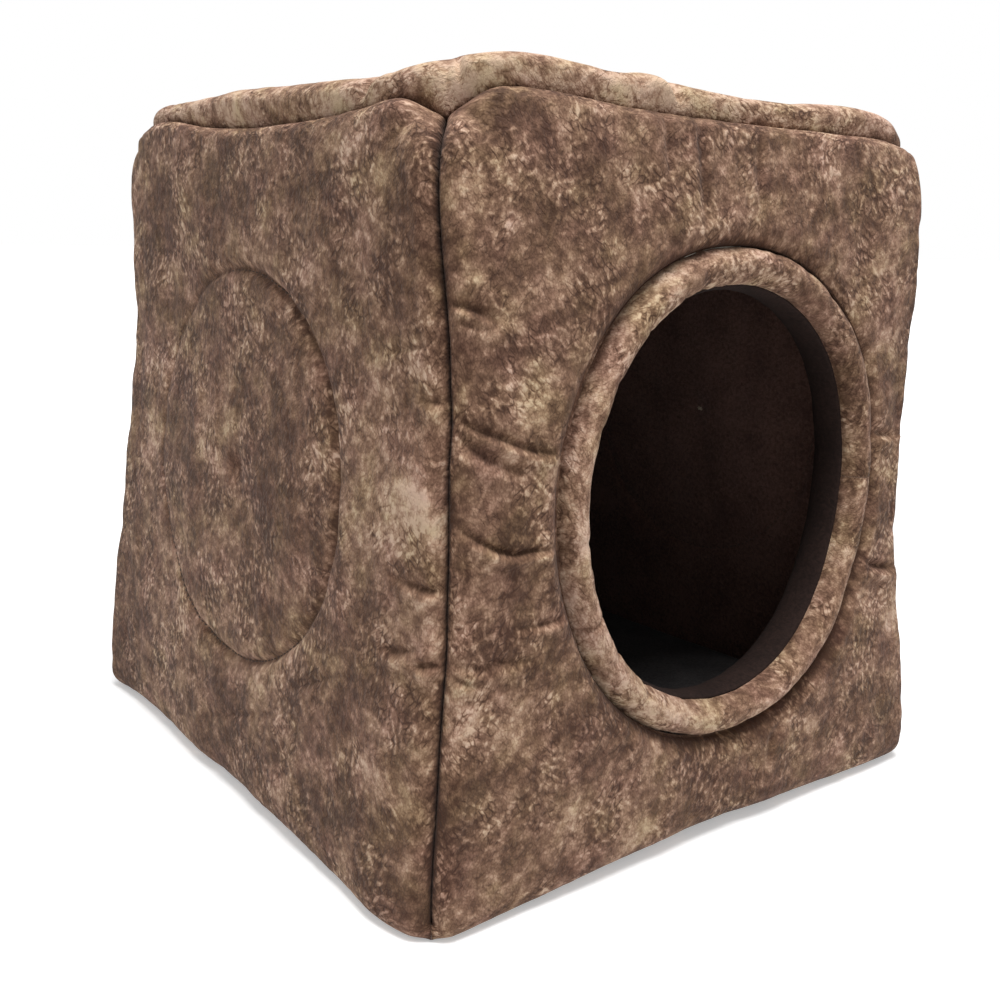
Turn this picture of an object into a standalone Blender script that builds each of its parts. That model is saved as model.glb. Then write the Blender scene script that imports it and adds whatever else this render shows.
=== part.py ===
"""A padded cat cube: four quilted walls and a padded roof sewn edge to edge, an oval entrance
with a stuffed rim, a fabric base between the walls and a loose floor cushion.
Metres, +Z up, the entrance faces -Y and the cube stands on z = 0."""

import bmesh
import bpy
import numpy as np

# Overall size of the cube, over the flat of its walls and roof
BASE_WIDTH = 0.405
BASE_DEPTH = 0.445
TOP_WIDTH = 0.365
TOP_DEPTH = 0.386
HEIGHT = 0.420

# Layers of a wall and of the roof, from outside to inside
QUILT = 0.006
FOAM = 0.016
LINING = 0.003

# Layers of the base
BASE_FABRIC = 0.002
BASE_FOAM = 0.008
BASE_LINING = 0.002
BASE_SIDE_GAP = 0.0008

# Gap between touching pieces, and half of it on each side of a sewn corner
GAP = 0.0003
MITRE_GAP = 0.00024

# Padding: how each panel rolls into its seams, bulges and turns under at the floor
SEAM_ROLL = 0.0065
WALL_CROWN = 0.006
ROOF_CROWN = 0.010
FLOOR_ROLL = 0.018

# Powers that set how square the padded shapes are: of the place where two rolled edges meet,
# across a wall's crown, up it, over the roof, and of the lean of a wall's layers towards the roof
EDGE_POWER = 4
WALL_CROWN_POWER = 4
WALL_RISE_POWER = 0.6
ROOF_CROWN_POWER = 6
ROOF_LEAN_POWER = 8

# Stitched circles on the three plain walls
CIRCLE_RADIUS = 0.118
RIGHT_CIRCLE_RADIUS = 0.108
CIRCLE_HEIGHT = 0.207
RIGHT_CIRCLE_HEIGHT = 0.222
RIGHT_CIRCLE_SHIFT = -0.040
STITCH_GROOVE_WIDTH = 0.011
STITCH_GROOVE_DEPTH = 0.0045
CIRCLE_PUFF = 0.001
LINING_GROOVE_DEPTH = 0.0015
THREAD_DIAMETER = 0.0012

# Thread tacks at the centres of the circles
TACK_LENGTH = 0.007
TACK_WIDTH = 0.002
TACK_THICKNESS = 0.0012
TACK_PROFILE = ((0.8, 0.0), (1.0, 0.5), (0.7, 1.0))
TACK_DIMPLE_RADIUS = 0.014
TACK_DIMPLE_DEPTH = 0.004
LINING_DIMPLE_DEPTH = 0.001

# Entrance: its clear oval, and the stuffed rim sewn round it, a little thinner on its left. The
# rim is suede outside and plush on the room's side, sewn together at the facing angle
ENTRANCE_WIDTH = 0.218
ENTRANCE_HEIGHT = 0.238
ENTRANCE_SHIFT = 0.015
ENTRANCE_CENTRE_HEIGHT = 0.202
RIM_WIDTH = 0.024
RIM_THINNING = 0.004
RIM_PROUD = 0.007
RIM_FABRIC = 0.0022
RIM_SEAM_DEPTH = 0.0045
RIM_LIP = 0.008
RIM_SEAM_ANGLE = np.radians(20)
RIM_FACING_ANGLE = np.radians(158)
RIM_FACING_GAP = np.radians(1.4)

# Loose floor cushion: its profile goes from the seam round the shoulder and over the brow
CUSHION_SIDE_GAP = 0.013
CUSHION_THICKNESS = 0.036
CUSHION_CROWN = 0.006
CUSHION_CORNER_RADIUS = 0.050
CUSHION_DRAW_IN = 0.007
CUSHION_FABRIC = 0.0018
SHOULDER_INSET = 0.004
SHOULDER_RISE = 0.011
BROW_INSET = 0.0156
BROW_DROP = 0.002
TOP_INSET = 0.042
TOP_RISE = 0.0024

# How far the sewn cube is drawn from straight lines, at even steps from end to end of its edges.
# Upright seams, from the start of the bow up: shifts along x, and along y
BOW_START = 0.020
UPRIGHT_BOWS = {
    ("low", "low"): (
        (0.0, 0.0025, 0.0059, 0.0061, 0.0058, 0.0, 0.0),
        (0.0, -0.0010, -0.0023, -0.0024, -0.0022, 0.0, 0.0),
    ),
    ("low", "high"): (
        (-0.0061, -0.0021, 0.0015, 0.0040, 0.0066, 0.0038, 0.0),
        (0.0061, 0.0021, -0.0015, -0.0040, -0.0066, -0.0038, 0.0),
    ),
    ("high", "low"): (
        (0.0, -0.0025, -0.0050, -0.0019, 0.0026, 0.0060, 0.0070),
        (0.0, 0.0025, 0.0050, 0.0019, -0.0026, -0.0060, -0.0070),
    ),
    ("high", "high"): (
        (0.0, -0.0015, -0.0030, -0.0040, -0.0030, -0.0015, 0.0),
        (0.0, -0.0015, -0.0030, -0.0040, -0.0030, -0.0015, 0.0),
    ),
}
# Edges round the roof, with x or y growing: lifts, which fade downwards with a power
TOP_LIFTS = {
    "front": (0.0, 0.0009, -0.0030, -0.0034, -0.0025, -0.0011, 0.0),
    "back": (0.0, -0.0020, 0.0010, 0.0015, 0.0010, 0.0010, 0.0),
    "left": (0.0, -0.0097, -0.0117, -0.0099, -0.0037, 0.0061, 0.0),
    "right": (0.0, 0.0010, -0.0010, -0.0020, -0.0010, 0.0010, 0.0),
}
TOP_FADE_POWER = 6
# Edges round the floor: outward shifts, which fade upwards with a power
LOW_BOWS = {
    "front": (0.0, 0.0013, 0.0, -0.0018, 0.0008, 0.0014, 0.0),
    "back": (0.0, 0.0020, 0.0, -0.0010, 0.0, 0.0020, 0.0),
    "left": (0.0, 0.0080, 0.0034, -0.0003, -0.0003, -0.0050, 0.0),
    "right": (0.0, 0.0020, 0.0010, 0.0, -0.0010, 0.0010, 0.0),
}
LOW_FADE_POWER = 4
# Upper corners: lift of the corner, and how far its seams' meeting is pulled in along each axis
UPPER_CORNERS = {
    ("low", "low"): (0.0044, 0.0080),
    ("high", "low"): (-0.0050, 0.0030),
    ("low", "high"): (-0.0026, 0.0070),
    ("high", "high"): (0.0, 0.0030),
}
PULL_SPREAD = 0.022
PULL_REACH = 0.050
# Roof's padding beside each edge: extra rise, greatest at a distance from the edge
ROOF_PUFFS = {
    "front": (0.0, 0.0051, 0.0070, 0.0050, 0.0030, 0.0044, 0.0),
    "back": (0.0, 0.0020, 0.0010, 0.0, 0.0010, 0.0010, 0.0),
    "left": (0.0, 0.0024, 0.0095, 0.0106, 0.0073, 0.0, 0.0),
    "right": (0.0, 0.0006, 0.0, 0.0010, 0.0020, 0.0, 0.0),
}
PUFF_PLACE = 0.024
PUFF_SPREAD = 0.022

# Mesh fineness
SIDE_SEGMENTS = 8
RING_SEGMENTS = 4 * SIDE_SEGMENTS
THREAD_SIDES = 4
TACK_SIDES = 8
RIM_COVER_STEPS = 6
RIM_FACING_STEPS = 5

WALL = QUILT + GAP + FOAM + GAP + LINING
SEAM_REACH = (1 + np.sqrt(2)) * SEAM_ROLL
SEAM_DEPTH = (1 + np.sqrt(0.5)) * SEAM_ROLL
FLOOR_ARC = FLOOR_ROLL * np.pi / 2
RUN_TOP = FLOOR_ARC + HEIGHT - FLOOR_ROLL
RIM_SEAT = RIM_WIDTH / 2 * (1 + np.cos(RIM_SEAM_ANGLE)) + GAP
BASE_TOP = BASE_FABRIC + GAP + BASE_FOAM + GAP + BASE_LINING

SIDES = {"front": ("x", 1, -1), "back": ("x", -1, 1), "left": ("y", -1, -1), "right": ("y", 1, 1)}


def clear_scene():
    for thing in list(bpy.data.objects):
        bpy.data.objects.remove(thing, do_unlink=True)


def make_material(name, colour, roughness):
    material = bpy.data.materials.new(name)
    material.use_nodes = True
    shader = material.node_tree.nodes["Principled BSDF"]
    shader.inputs["Base Color"].default_value = (*colour, 1.0)
    shader.inputs["Roughness"].default_value = roughness
    shader.inputs["Metallic"].default_value = 0.0
    return material


def half_width(height):
    return BASE_WIDTH / 2 + (TOP_WIDTH - BASE_WIDTH) / 2 * height / HEIGHT


def half_depth(height):
    return BASE_DEPTH / 2 + (TOP_DEPTH - BASE_DEPTH) / 2 * height / HEIGHT


def through(fraction, values):
    """The smooth curve that passes the values at even steps from 0 to 1."""
    last = len(values) - 1
    marks = np.array([values[0], *values, values[-1]])
    place = np.clip(fraction, 0, 1) * last
    step = np.minimum(place.astype(int), last - 1)
    part = place - step
    before, start, end, after = (marks[step + index] for index in range(4))
    rise_start = (end - before) / 2
    rise_end = (after - start) / 2
    bend = 3 * (end - start) - 2 * rise_start - rise_end
    turn = 2 * (start - end) + rise_start + rise_end
    return start + part * (rise_start + part * (bend + part * turn))


def corner_share(end, place):
    return (1 - place) / 2 if end == "low" else (1 + place) / 2


def corner_pull(points, x_end, y_end):
    """How strongly a point is pulled in at an upper corner: fully on the corner's diagonal, and
    less beside it and deeper inside."""
    x, y, z = points.T
    x_sign = -1 if x_end == "low" else 1
    y_sign = -1 if y_end == "low" else 1
    inward = np.stack([half_width(z) - x_sign * x, half_depth(z) - y_sign * y, HEIGHT - z])
    beside = inward.max(axis=0) - inward.min(axis=0)
    deep = inward.mean(axis=0)
    return np.exp(-((beside / PULL_SPREAD) ** 2) - (deep / PULL_REACH) ** 2)


def drawn(points):
    """Points of the straight-edged cube, moved with its drawn seams and edges."""
    x, y, z = points.T
    climb = np.clip((z - BOW_START) / (HEIGHT - BOW_START), 0, 1)
    across = np.clip(x / half_width(z), -1, 1)
    along = np.clip(y / half_depth(z), -1, 1)
    u, v = (1 + across) / 2, (1 + along) / 2
    level = np.clip(z / HEIGHT, 0, 1)
    top = level**TOP_FADE_POWER
    low = (1 - level) ** LOW_FADE_POWER
    moved = points.copy()
    for (x_end, y_end), (x_bows, y_bows) in UPRIGHT_BOWS.items():
        share = corner_share(x_end, across) * corner_share(y_end, along)
        lift, pull = UPPER_CORNERS[x_end, y_end]
        inward = pull * corner_pull(points, x_end, y_end)
        moved[:, 0] += share * through(climb, x_bows) + inward * (1 if x_end == "low" else -1)
        moved[:, 1] += share * through(climb, y_bows) + inward * (1 if y_end == "low" else -1)
        moved[:, 2] += share * lift * top - inward
    moved[:, 0] += low * (u * through(v, LOW_BOWS["right"]) - (1 - u) * through(v, LOW_BOWS["left"]))
    moved[:, 1] += low * (v * through(u, LOW_BOWS["back"]) - (1 - v) * through(u, LOW_BOWS["front"]))
    moved[:, 2] += top * ((1 - v) * through(u, TOP_LIFTS["front"]) + v * through(u, TOP_LIFTS["back"]))
    moved[:, 2] += top * ((1 - u) * through(v, TOP_LIFTS["left"]) + u * through(v, TOP_LIFTS["right"]))
    return moved


def rolled(distance):
    """Depth of a padded edge at a distance from its seam plane: an arc that leaves the flat
    face and meets the 45 degree seam plane edge on."""
    reach = np.clip(distance / (np.sqrt(2) * SEAM_ROLL) - 1, -1, np.sqrt(0.5))
    return SEAM_ROLL * (1 - np.sin(np.pi / 4 + np.arcsin(reach)))


def chamfered(distance):
    """The straight line below the rolled edge, for the inner layers."""
    return SEAM_DEPTH * np.clip(1 - distance / SEAM_REACH, 0, 1)


def both_edges(first, second):
    return (first**EDGE_POWER + second**EDGE_POWER) ** (1 / EDGE_POWER)


def spread(count):
    """Fractions from 0 to 1, a little closer together near both ends."""
    even = np.linspace(0, 1, count + 1)
    return (even + (1 - np.cos(np.pi * even)) / 2) / 2


def square_loop():
    """Places round a square from -1 to 1, and how far round it they are, from 0 to 4."""
    steps = spread(SIDE_SEGMENTS)
    sweep = 2 * steps[:-1] - 1
    side = np.ones(SIDE_SEGMENTS)
    first = np.concatenate([sweep, side, -sweep, -side])
    second = np.concatenate([-side, sweep, side, -sweep])
    keys = np.concatenate([index + steps[:-1] for index in range(4)])
    return first, second, keys


def ring_keys(count):
    return np.arange(count) * 4 / count


def seam_distances(angles):
    """Distances from the seam plane at which the rolled edge has the given slopes."""
    return SEAM_ROLL * (np.sqrt(2) + np.sin(angles) - np.cos(angles))


ROLL_RINGS = seam_distances(np.radians([-45, -10, 25, 58, 90]))


class Shell:
    """One closed body, gathered loop by loop. A loop is its vertex numbers and, for each, how
    far round the loop it is, from 0 to 4 sides."""

    def __init__(self):
        self.points = []
        self.faces = []

    def loop(self, points, keys):
        first = len(self.points)
        self.points.extend(map(tuple, points))
        return list(range(first, first + len(points))), list(keys)

    def zip(self, first, second):
        """Triangles between two loops, which may have different numbers of points."""
        (a, a_keys), (b, b_keys) = first, second
        a_keys = [*a_keys, 4.0]
        b_keys = [*b_keys, 4.0]
        i = j = 0
        while i < len(a) or j < len(b):
            if j == len(b) or (i < len(a) and a_keys[i + 1] < b_keys[j + 1]):
                self.faces.append((a[i], a[(i + 1) % len(a)], b[j % len(b)]))
                i += 1
            else:
                self.faces.append((a[i % len(a)], b[(j + 1) % len(b)], b[j]))
                j += 1

    def cap(self, ring, centre):
        numbers, _ = ring
        self.points.append(tuple(centre))
        tip = len(self.points) - 1
        for index, number in enumerate(numbers):
            self.faces.append((number, numbers[(index + 1) % len(numbers)], tip))

    def chain(self, rings):
        for first, second in zip(rings, rings[1:]):
            self.zip(first, second)

    def finish(self, name, material):
        mesh = bpy.data.meshes.new(name)
        mesh.from_pydata(self.points, [], self.faces)
        work = bmesh.new()
        work.from_mesh(mesh)
        bmesh.ops.recalc_face_normals(work, faces=work.faces)
        work.to_mesh(mesh)
        work.free()
        mesh.materials.append(material)
        mesh.shade_smooth()
        mesh.set_sharp_from_angle(angle=np.radians(40))
        node = bpy.data.objects.new(name, mesh)
        bpy.context.collection.objects.link(node)
        return node


def wall_points(side, across, setback, height, lateral=None):
    """Points on a wall at a fraction across it, a setback behind its outer face and a height.
    A lateral place in metres stands for the fraction where a shape must not lean."""
    lean = np.clip(height / HEIGHT, 0, 1) ** ROOF_LEAN_POWER
    height = height - (setback + MITRE_GAP) * lean
    axis, turn, outward = SIDES[side]
    span, reach = (half_width, half_depth) if axis == "x" else (half_depth, half_width)
    if lateral is None:
        lateral = across * (span(height) - setback - MITRE_GAP)
    face = outward * (reach(height) - setback)
    columns = (turn * lateral, face) if axis == "x" else (face, turn * lateral)
    return drawn(np.stack([*columns, height], axis=1))


def section(run, depth):
    """Setback and height at a run up the wall's section and a depth below its outer face. The
    run starts on the floor, turns up through the floor roll and climbs to the roof."""
    angle = np.clip(run / FLOOR_ROLL, 0, np.pi / 2)
    setback = np.where(run < 0, FLOOR_ROLL - run, FLOOR_ROLL * (1 - np.sin(angle)))
    height = np.where(run < FLOOR_ARC, FLOOR_ROLL * (1 - np.cos(angle)), run - FLOOR_ARC + FLOOR_ROLL)
    return setback + depth * np.sin(angle), height + depth * np.cos(angle)


def span_at(side, run):
    height = np.clip(run - FLOOR_ARC + FLOOR_ROLL, 0, HEIGHT)
    return half_width(height) if SIDES[side][0] == "x" else half_depth(height)


def height_run(height):
    return height - FLOOR_ROLL + FLOOR_ARC


def wall_crown(across, run):
    rise = np.clip((run - FLOOR_ARC) / (RUN_TOP - FLOOR_ARC), 0, 1)
    return WALL_CROWN * (1 - across**WALL_CROWN_POWER) * np.sin(np.pi * rise) ** WALL_RISE_POWER


def above_floor(run):
    """1 on the upright part of a wall, falling to 0 where it lies on the floor."""
    return np.clip(run / FLOOR_ARC, 0, 1)


def outer_depth(side, across, run):
    from_side = (1 - np.abs(across)) * span_at(side, run)
    from_top = RUN_TOP - run
    edges = both_edges(rolled(from_side) * above_floor(run), rolled(from_top))
    return edges - wall_crown(across, run)


def inner_depth(side, across, run):
    from_side = (1 - np.abs(across)) * span_at(side, run)
    from_top = RUN_TOP - run
    return both_edges(chamfered(from_side) * above_floor(run), chamfered(from_top))


def wall_rectangle(side, inset, run_low, floor_runs):
    """A loop round a wall, in from its side and top seams by the inset. Its sides start at
    run_low and pass the given runs on the floor roll before they climb."""
    steps = spread(SIDE_SEGMENTS)
    climb = FLOOR_ARC + steps * (RUN_TOP - inset - FLOOR_ARC)
    below = [run for run in floor_runs if run < FLOOR_ARC]
    rise = np.array([*below, *climb])
    low = np.full(SIDE_SEGMENTS + 1, run_low)
    high = np.full(SIDE_SEGMENTS + 1, RUN_TOP - inset)
    run = np.concatenate([low[:-1], rise[:-1], high[:-1], rise[::-1][:-1]])
    limit = 1 - inset / span_at(side, run)
    sweep = 2 * steps - 1
    across = np.concatenate([sweep[:-1], np.ones(len(rise) - 1), -sweep[:-1], -np.ones(len(rise) - 1)])
    part = (rise - rise[0]) / (rise[-1] - rise[0])
    keys = np.concatenate([steps[:-1], 1 + part[:-1], 2 + steps[:-1], 3 + (1 - part[::-1])[:-1]])
    return across * limit, run, keys


def outer_rectangles(side, flange):
    """The loops of a quilted outer face, from the seams and the floor flange inwards."""
    floor_runs = [flange, 0.0, FLOOR_ARC / 3, FLOOR_ARC * 2 / 3, FLOOR_ARC]
    return [
        wall_rectangle(side, inset, floor_runs[index], floor_runs[index:])
        for index, inset in enumerate(ROLL_RINGS)
    ]


def inner_rectangles(side, flange):
    edge = wall_rectangle(side, 0.0, flange, [flange, 0.0])
    knee = wall_rectangle(side, SEAM_REACH / 2, 0.0, [0.0])
    face = wall_rectangle(side, SEAM_REACH, FLOOR_ARC, [])
    return [edge, knee, face]


def ring_angles():
    return -0.75 * np.pi + np.arange(RING_SEGMENTS) * 2 * np.pi / RING_SEGMENTS


def circle_place(side):
    """Lateral shift, height and radius of a plain wall's stitched circle."""
    if side == "right":
        return RIGHT_CIRCLE_SHIFT, RIGHT_CIRCLE_HEIGHT, RIGHT_CIRCLE_RADIUS
    return 0.0, CIRCLE_HEIGHT, CIRCLE_RADIUS


def oval(margin, wide, high):
    """Lateral and vertical places of an oval this much larger than the given half sizes."""
    angles = ring_angles()
    return (wide + margin) * np.cos(angles), (high + margin) * np.sin(angles)


def oval_loop(shell, side, keys, place, shape, depth, crowned):
    """An upright oval on a wall, at one depth below the crowned or the flat face."""
    shift, centre = place
    lateral, rise = shape
    lateral = lateral + shift
    run = height_run(centre + rise)
    if crowned:
        depth = depth - wall_crown(lateral / span_at(side, run), run)
    return shell.loop(wall_points(side, None, *section(run, depth), lateral), keys)


def sheet_rings(shell, side, rectangles, depth_of, base=0.0):
    rings = []
    for across, run, keys in rectangles:
        setback, height = section(run, base + depth_of(side, across, run))
        rings.append(shell.loop(wall_points(side, across, setback, height), keys))
    return rings


def upright_edge(shell, side, low, depth):
    """The outline of a flat layer that stands at a height and reaches the other walls."""
    across, rise, keys = square_loop()
    height = low + (HEIGHT - low) * (1 + rise) / 2
    return shell.loop(wall_points(side, across, np.full(len(height), depth), height), keys)


def wall_centre(side, depth, crowned):
    shift, centre, _ = circle_place(side)
    run = np.array([height_run(centre)])
    lateral = np.array([shift])
    if crowned:
        depth = depth - wall_crown(lateral / span_at(side, run), run)
    return wall_points(side, None, *section(run, depth), lateral)[0]


def circle_rings(shell, side, keys, levels, crowned):
    """Rings round a plain wall's circle, each given as (radius, depth)."""
    shift, centre, _ = circle_place(side)
    rings = []
    for radius, depth in levels:
        shape = oval(0.0, radius, radius)
        rings.append(oval_loop(shell, side, keys, (shift, centre), shape, depth, crowned))
    return rings


def flange_run(depth):
    """The run at which the part of a wall that turns under ends, this deep into the wall."""
    return FLOOR_ROLL - depth


def plain_wall_quilt(side, material):
    """Outer fabric with its fibre wadding, drawn in along the stitched circle and the tack."""
    shell = Shell()
    radius = circle_place(side)[2]
    half_groove = STITCH_GROOVE_WIDTH / 2
    rectangles = outer_rectangles(side, flange_run(WALL))
    outer = sheet_rings(shell, side, rectangles, outer_depth)
    keys = rectangles[-1][2]
    levels = [
        (radius + half_groove, 0.0),
        (radius, STITCH_GROOVE_DEPTH),
        (radius - half_groove, 0.0),
        (radius / 2, -CIRCLE_PUFF),
        (TACK_DIMPLE_RADIUS, 0.0),
    ]
    outer += circle_rings(shell, side, keys, levels, crowned=True)
    shell.chain(outer)
    shell.cap(outer[-1], wall_centre(side, TACK_DIMPLE_DEPTH, crowned=True))
    rectangles = inner_rectangles(side, flange_run(WALL))
    inner = sheet_rings(shell, side, rectangles, inner_depth, QUILT)
    inner += circle_rings(shell, side, rectangles[-1][2], [(radius, QUILT)], crowned=False)
    shell.chain(inner)
    shell.cap(inner[-1], wall_centre(side, QUILT, crowned=False))
    shell.zip(outer[0], inner[0])
    shell.finish(f"{side}_quilted_panel", material)


def wall_foam(side, material):
    """A foam board with chamfered edges, standing on the flange of its quilted panel."""
    shell = Shell()
    start = QUILT + GAP
    end = start + FOAM
    rectangles = inner_rectangles(side, flange_run(end - start / 2))
    outer = sheet_rings(shell, side, rectangles, inner_depth, start)
    inner = [upright_edge(shell, side, start, end)]
    close_sheets(shell, side, outer, inner, (start, end))
    shell.finish(f"{side}_foam_board", material)


def wall_lining(side, material):
    """The soft inner lining, drawn in a little along the same stitched circle."""
    shell = Shell()
    start = QUILT + GAP + FOAM + GAP
    end = start + LINING
    outer = [upright_edge(shell, side, QUILT + GAP, start)]
    inner = [upright_edge(shell, side, QUILT + GAP, end)]
    close_sheets(shell, side, outer, inner, (start, end), grooved=True)
    shell.finish(f"{side}_lining", material)


def close_sheets(shell, side, outer, inner, depths, grooved=False):
    """Finish both faces of a flat layer round its entrance or its circle, and join them."""
    start, end = depths
    keys = outer[-1][1], inner[-1][1]
    if side == "front":
        outer += entrance_rings(shell, keys[0], [(RIM_SEAT, start)], crowned=False)
        inner += entrance_rings(shell, keys[1], [(RIM_SEAT, end)], crowned=False)
        shell.zip(outer[-1], inner[-1])
    else:
        radius = circle_place(side)[2]
        levels = [(radius, end)]
        dimple = 0.0
        if grooved:
            half_groove = STITCH_GROOVE_WIDTH / 2
            levels = [
                (radius + half_groove, end),
                (radius, end - LINING_GROOVE_DEPTH),
                (radius - half_groove, end),
                (TACK_DIMPLE_RADIUS, end),
            ]
            dimple = LINING_DIMPLE_DEPTH
        outer += circle_rings(shell, side, keys[0], [(radius, start)], crowned=False)
        inner += circle_rings(shell, side, keys[1], levels, crowned=False)
        shell.cap(outer[-1], wall_centre(side, start, crowned=False))
        shell.cap(inner[-1], wall_centre(side, end - dimple, crowned=False))
    shell.chain(outer)
    shell.chain(inner)
    shell.zip(outer[0], inner[0])


def entrance_rings(shell, keys, levels, crowned):
    """Ovals round the entrance, each given as (margin beyond the clear oval, depth)."""
    place = (ENTRANCE_SHIFT, ENTRANCE_CENTRE_HEIGHT)
    rings = []
    for margin, depth in levels:
        shape = oval(margin, ENTRANCE_WIDTH / 2, ENTRANCE_HEIGHT / 2)
        rings.append(oval_loop(shell, "front", keys, place, shape, depth, crowned))
    return rings


def front_quilt(material):
    """The front's outer panel, which rolls into the rim seam round the entrance."""
    shell = Shell()
    rectangles = outer_rectangles("front", flange_run(WALL))
    outer = sheet_rings(shell, "front", rectangles, outer_depth)
    edge = RIM_SEAT
    levels = [
        (edge + RIM_LIP, 0.0),
        (edge + RIM_LIP / 3, RIM_SEAM_DEPTH / 3),
    ]
    outer += entrance_rings(shell, rectangles[-1][2], levels, crowned=True)
    outer += entrance_rings(shell, rectangles[-1][2], [(edge, RIM_SEAM_DEPTH)], crowned=False)
    shell.chain(outer)
    rectangles = inner_rectangles("front", flange_run(WALL))
    inner = sheet_rings(shell, "front", rectangles, inner_depth, QUILT)
    inner += entrance_rings(shell, rectangles[-1][2], [(edge, QUILT)], crowned=False)
    shell.chain(inner)
    shell.zip(outer[0], inner[0])
    shell.zip(outer[-1], inner[-1])
    shell.finish("front_quilted_panel", material)


def swept_rim(shell, section):
    """A section of (margin, depth) pairs carried round the entrance, closed on itself."""
    rings = entrance_rings(shell, ring_keys(RING_SEGMENTS), section, crowned=False)
    shell.chain([*rings, rings[0]])


def rim_section(shrink, angles):
    """Points of the rim's oval section, shrunk by a fabric thickness. Angle 0 points away from
    the entrance, into the wall. The margins differ round the entrance."""
    half = RIM_WIDTH / 2 - RIM_THINNING / 2 * np.clip(-np.cos(ring_angles()), 0, 1) ** 2
    centre = RIM_WIDTH - half
    middle = WALL / 2
    reach = middle + RIM_PROUD - shrink
    return [
        (centre + (half - shrink) * np.cos(angle), middle - reach * np.sin(angle))
        for angle in angles
    ]


def rim_strip(name, angles, material):
    """A strip of cloth folded over part of the rim's filling."""
    shell = Shell()
    swept_rim(shell, rim_section(0.0, angles) + rim_section(RIM_FABRIC, angles[::-1]))
    shell.finish(name, material)


def entrance_rim(materials):
    """A suede strip and a plush facing sewn together round a fibre roll. The roll is open
    towards the wall, where the other edge of each strip is sewn."""
    cover_end = RIM_FACING_ANGLE - RIM_FACING_GAP / 2
    facing_start = RIM_FACING_ANGLE + RIM_FACING_GAP / 2
    cover_angles = np.linspace(RIM_SEAM_ANGLE, cover_end, RIM_COVER_STEPS)
    facing_angles = np.linspace(facing_start, 2 * np.pi - RIM_SEAM_ANGLE, RIM_FACING_STEPS)
    rim_strip("entrance_rim_cover", cover_angles, materials["suede"])
    rim_strip("entrance_rim_facing", facing_angles, materials["plush"])
    filling = Shell()
    swept_rim(filling, rim_section(RIM_FABRIC + GAP, np.array([0.0, *cover_angles, *facing_angles])))
    filling.finish("entrance_rim_filling", materials["foam"])


def quilting_thread(side, material):
    """A ring of thread lying in the groove of the stitched circle."""
    shell = Shell()
    shift, centre, radius = circle_place(side)
    keys = ring_keys(RING_SEGMENTS)
    half = THREAD_DIAMETER / 2
    floor = STITCH_GROOVE_DEPTH - GAP - half
    rings = []
    for turn in range(THREAD_SIDES):
        angle = np.pi / 4 + turn * 2 * np.pi / THREAD_SIDES
        reach = radius + half * np.cos(angle)
        depth = floor + half * np.sin(angle)
        shape = oval(0.0, reach, reach)
        rings.append(oval_loop(shell, side, keys, (shift, centre), shape, depth, crowned=True))
    shell.chain([*rings, rings[0]])
    shell.finish(f"{side}_quilting_thread", material)


def tack_bar(name, side, depth, rise, crowned, material):
    """A short bar of thread stitches, widest half way up its thickness."""
    shift, centre, _ = circle_place(side)
    shell = Shell()
    keys = ring_keys(TACK_SIDES)
    angles = keys * np.pi / 2
    run = height_run(centre + TACK_WIDTH / 2 * np.sin(angles))
    loops = []
    for share, lift in TACK_PROFILE:
        place = shift + TACK_LENGTH / 2 * share * np.cos(angles)
        loop_depth = depth + rise * lift * TACK_THICKNESS
        if crowned:
            loop_depth = loop_depth - wall_crown(place / span_at(side, run), run)
        points = wall_points(side, None, *section(run, loop_depth), place)
        loops.append(shell.loop(points, keys))
    shell.chain(loops)
    for ring, step in ((loops[0], 0.0), (loops[-1], 1.0)):
        middle = depth + rise * step * TACK_THICKNESS
        shell.cap(ring, wall_centre(side, middle, crowned))
    shell.finish(name, material)


def wall_tacks(side, outer_material, lining_material):
    """The tack's two ends, one in the outer dimple and one in the lining's."""
    outer_floor = TACK_DIMPLE_DEPTH * (1 - TACK_LENGTH / 2 / TACK_DIMPLE_RADIUS) - GAP
    tack_bar(f"{side}_outer_tack", side, outer_floor, -1, True, outer_material)
    inner_floor = WALL - LINING_DIMPLE_DEPTH * (1 - TACK_LENGTH / 2 / TACK_DIMPLE_RADIUS) + GAP
    tack_bar(f"{side}_lining_tack", side, inner_floor, 1, False, lining_material)


def roof_rectangle(inset):
    across, along, keys = square_loop()
    across = across * (1 - inset / half_width(HEIGHT))
    along = along * (1 - inset / half_depth(HEIGHT))
    return across, along, keys


def roof_points(across, along, depth):
    height = HEIGHT - depth
    x = across * (half_width(height) - depth - MITRE_GAP)
    y = along * (half_depth(height) - depth - MITRE_GAP)
    return drawn(np.stack([x, y, height], axis=1))


def roof_edge_distances(across, along):
    from_side = (1 - np.abs(across)) * half_width(HEIGHT)
    from_end = (1 - np.abs(along)) * half_depth(HEIGHT)
    return from_side, from_end


def roof_puff(across, along):
    """The extra rise beside the roof's four edges, a bell across each edge."""
    u, v = (1 + across) / 2, (1 + along) / 2
    wide, deep = 2 * half_width(HEIGHT), 2 * half_depth(HEIGHT)
    edges = (
        ("front", v * deep, u),
        ("back", (1 - v) * deep, u),
        ("left", u * wide, v),
        ("right", (1 - u) * wide, v),
    )
    rise = 0.0
    for name, distance, place in edges:
        bell = np.exp(-(((distance - PUFF_PLACE) / PUFF_SPREAD) ** 2))
        rise = rise + through(place, ROOF_PUFFS[name]) * bell
    return rise


def roof_outer_depth(across, along):
    from_side, from_end = roof_edge_distances(across, along)
    crown = ROOF_CROWN * (1 - across**ROOF_CROWN_POWER) * (1 - along**ROOF_CROWN_POWER)
    edges = both_edges(rolled(from_side), rolled(from_end))
    inside = np.clip(np.minimum(from_side, from_end) / SEAM_REACH, 0, 1)
    return edges - crown - roof_puff(across, along) * inside


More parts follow.
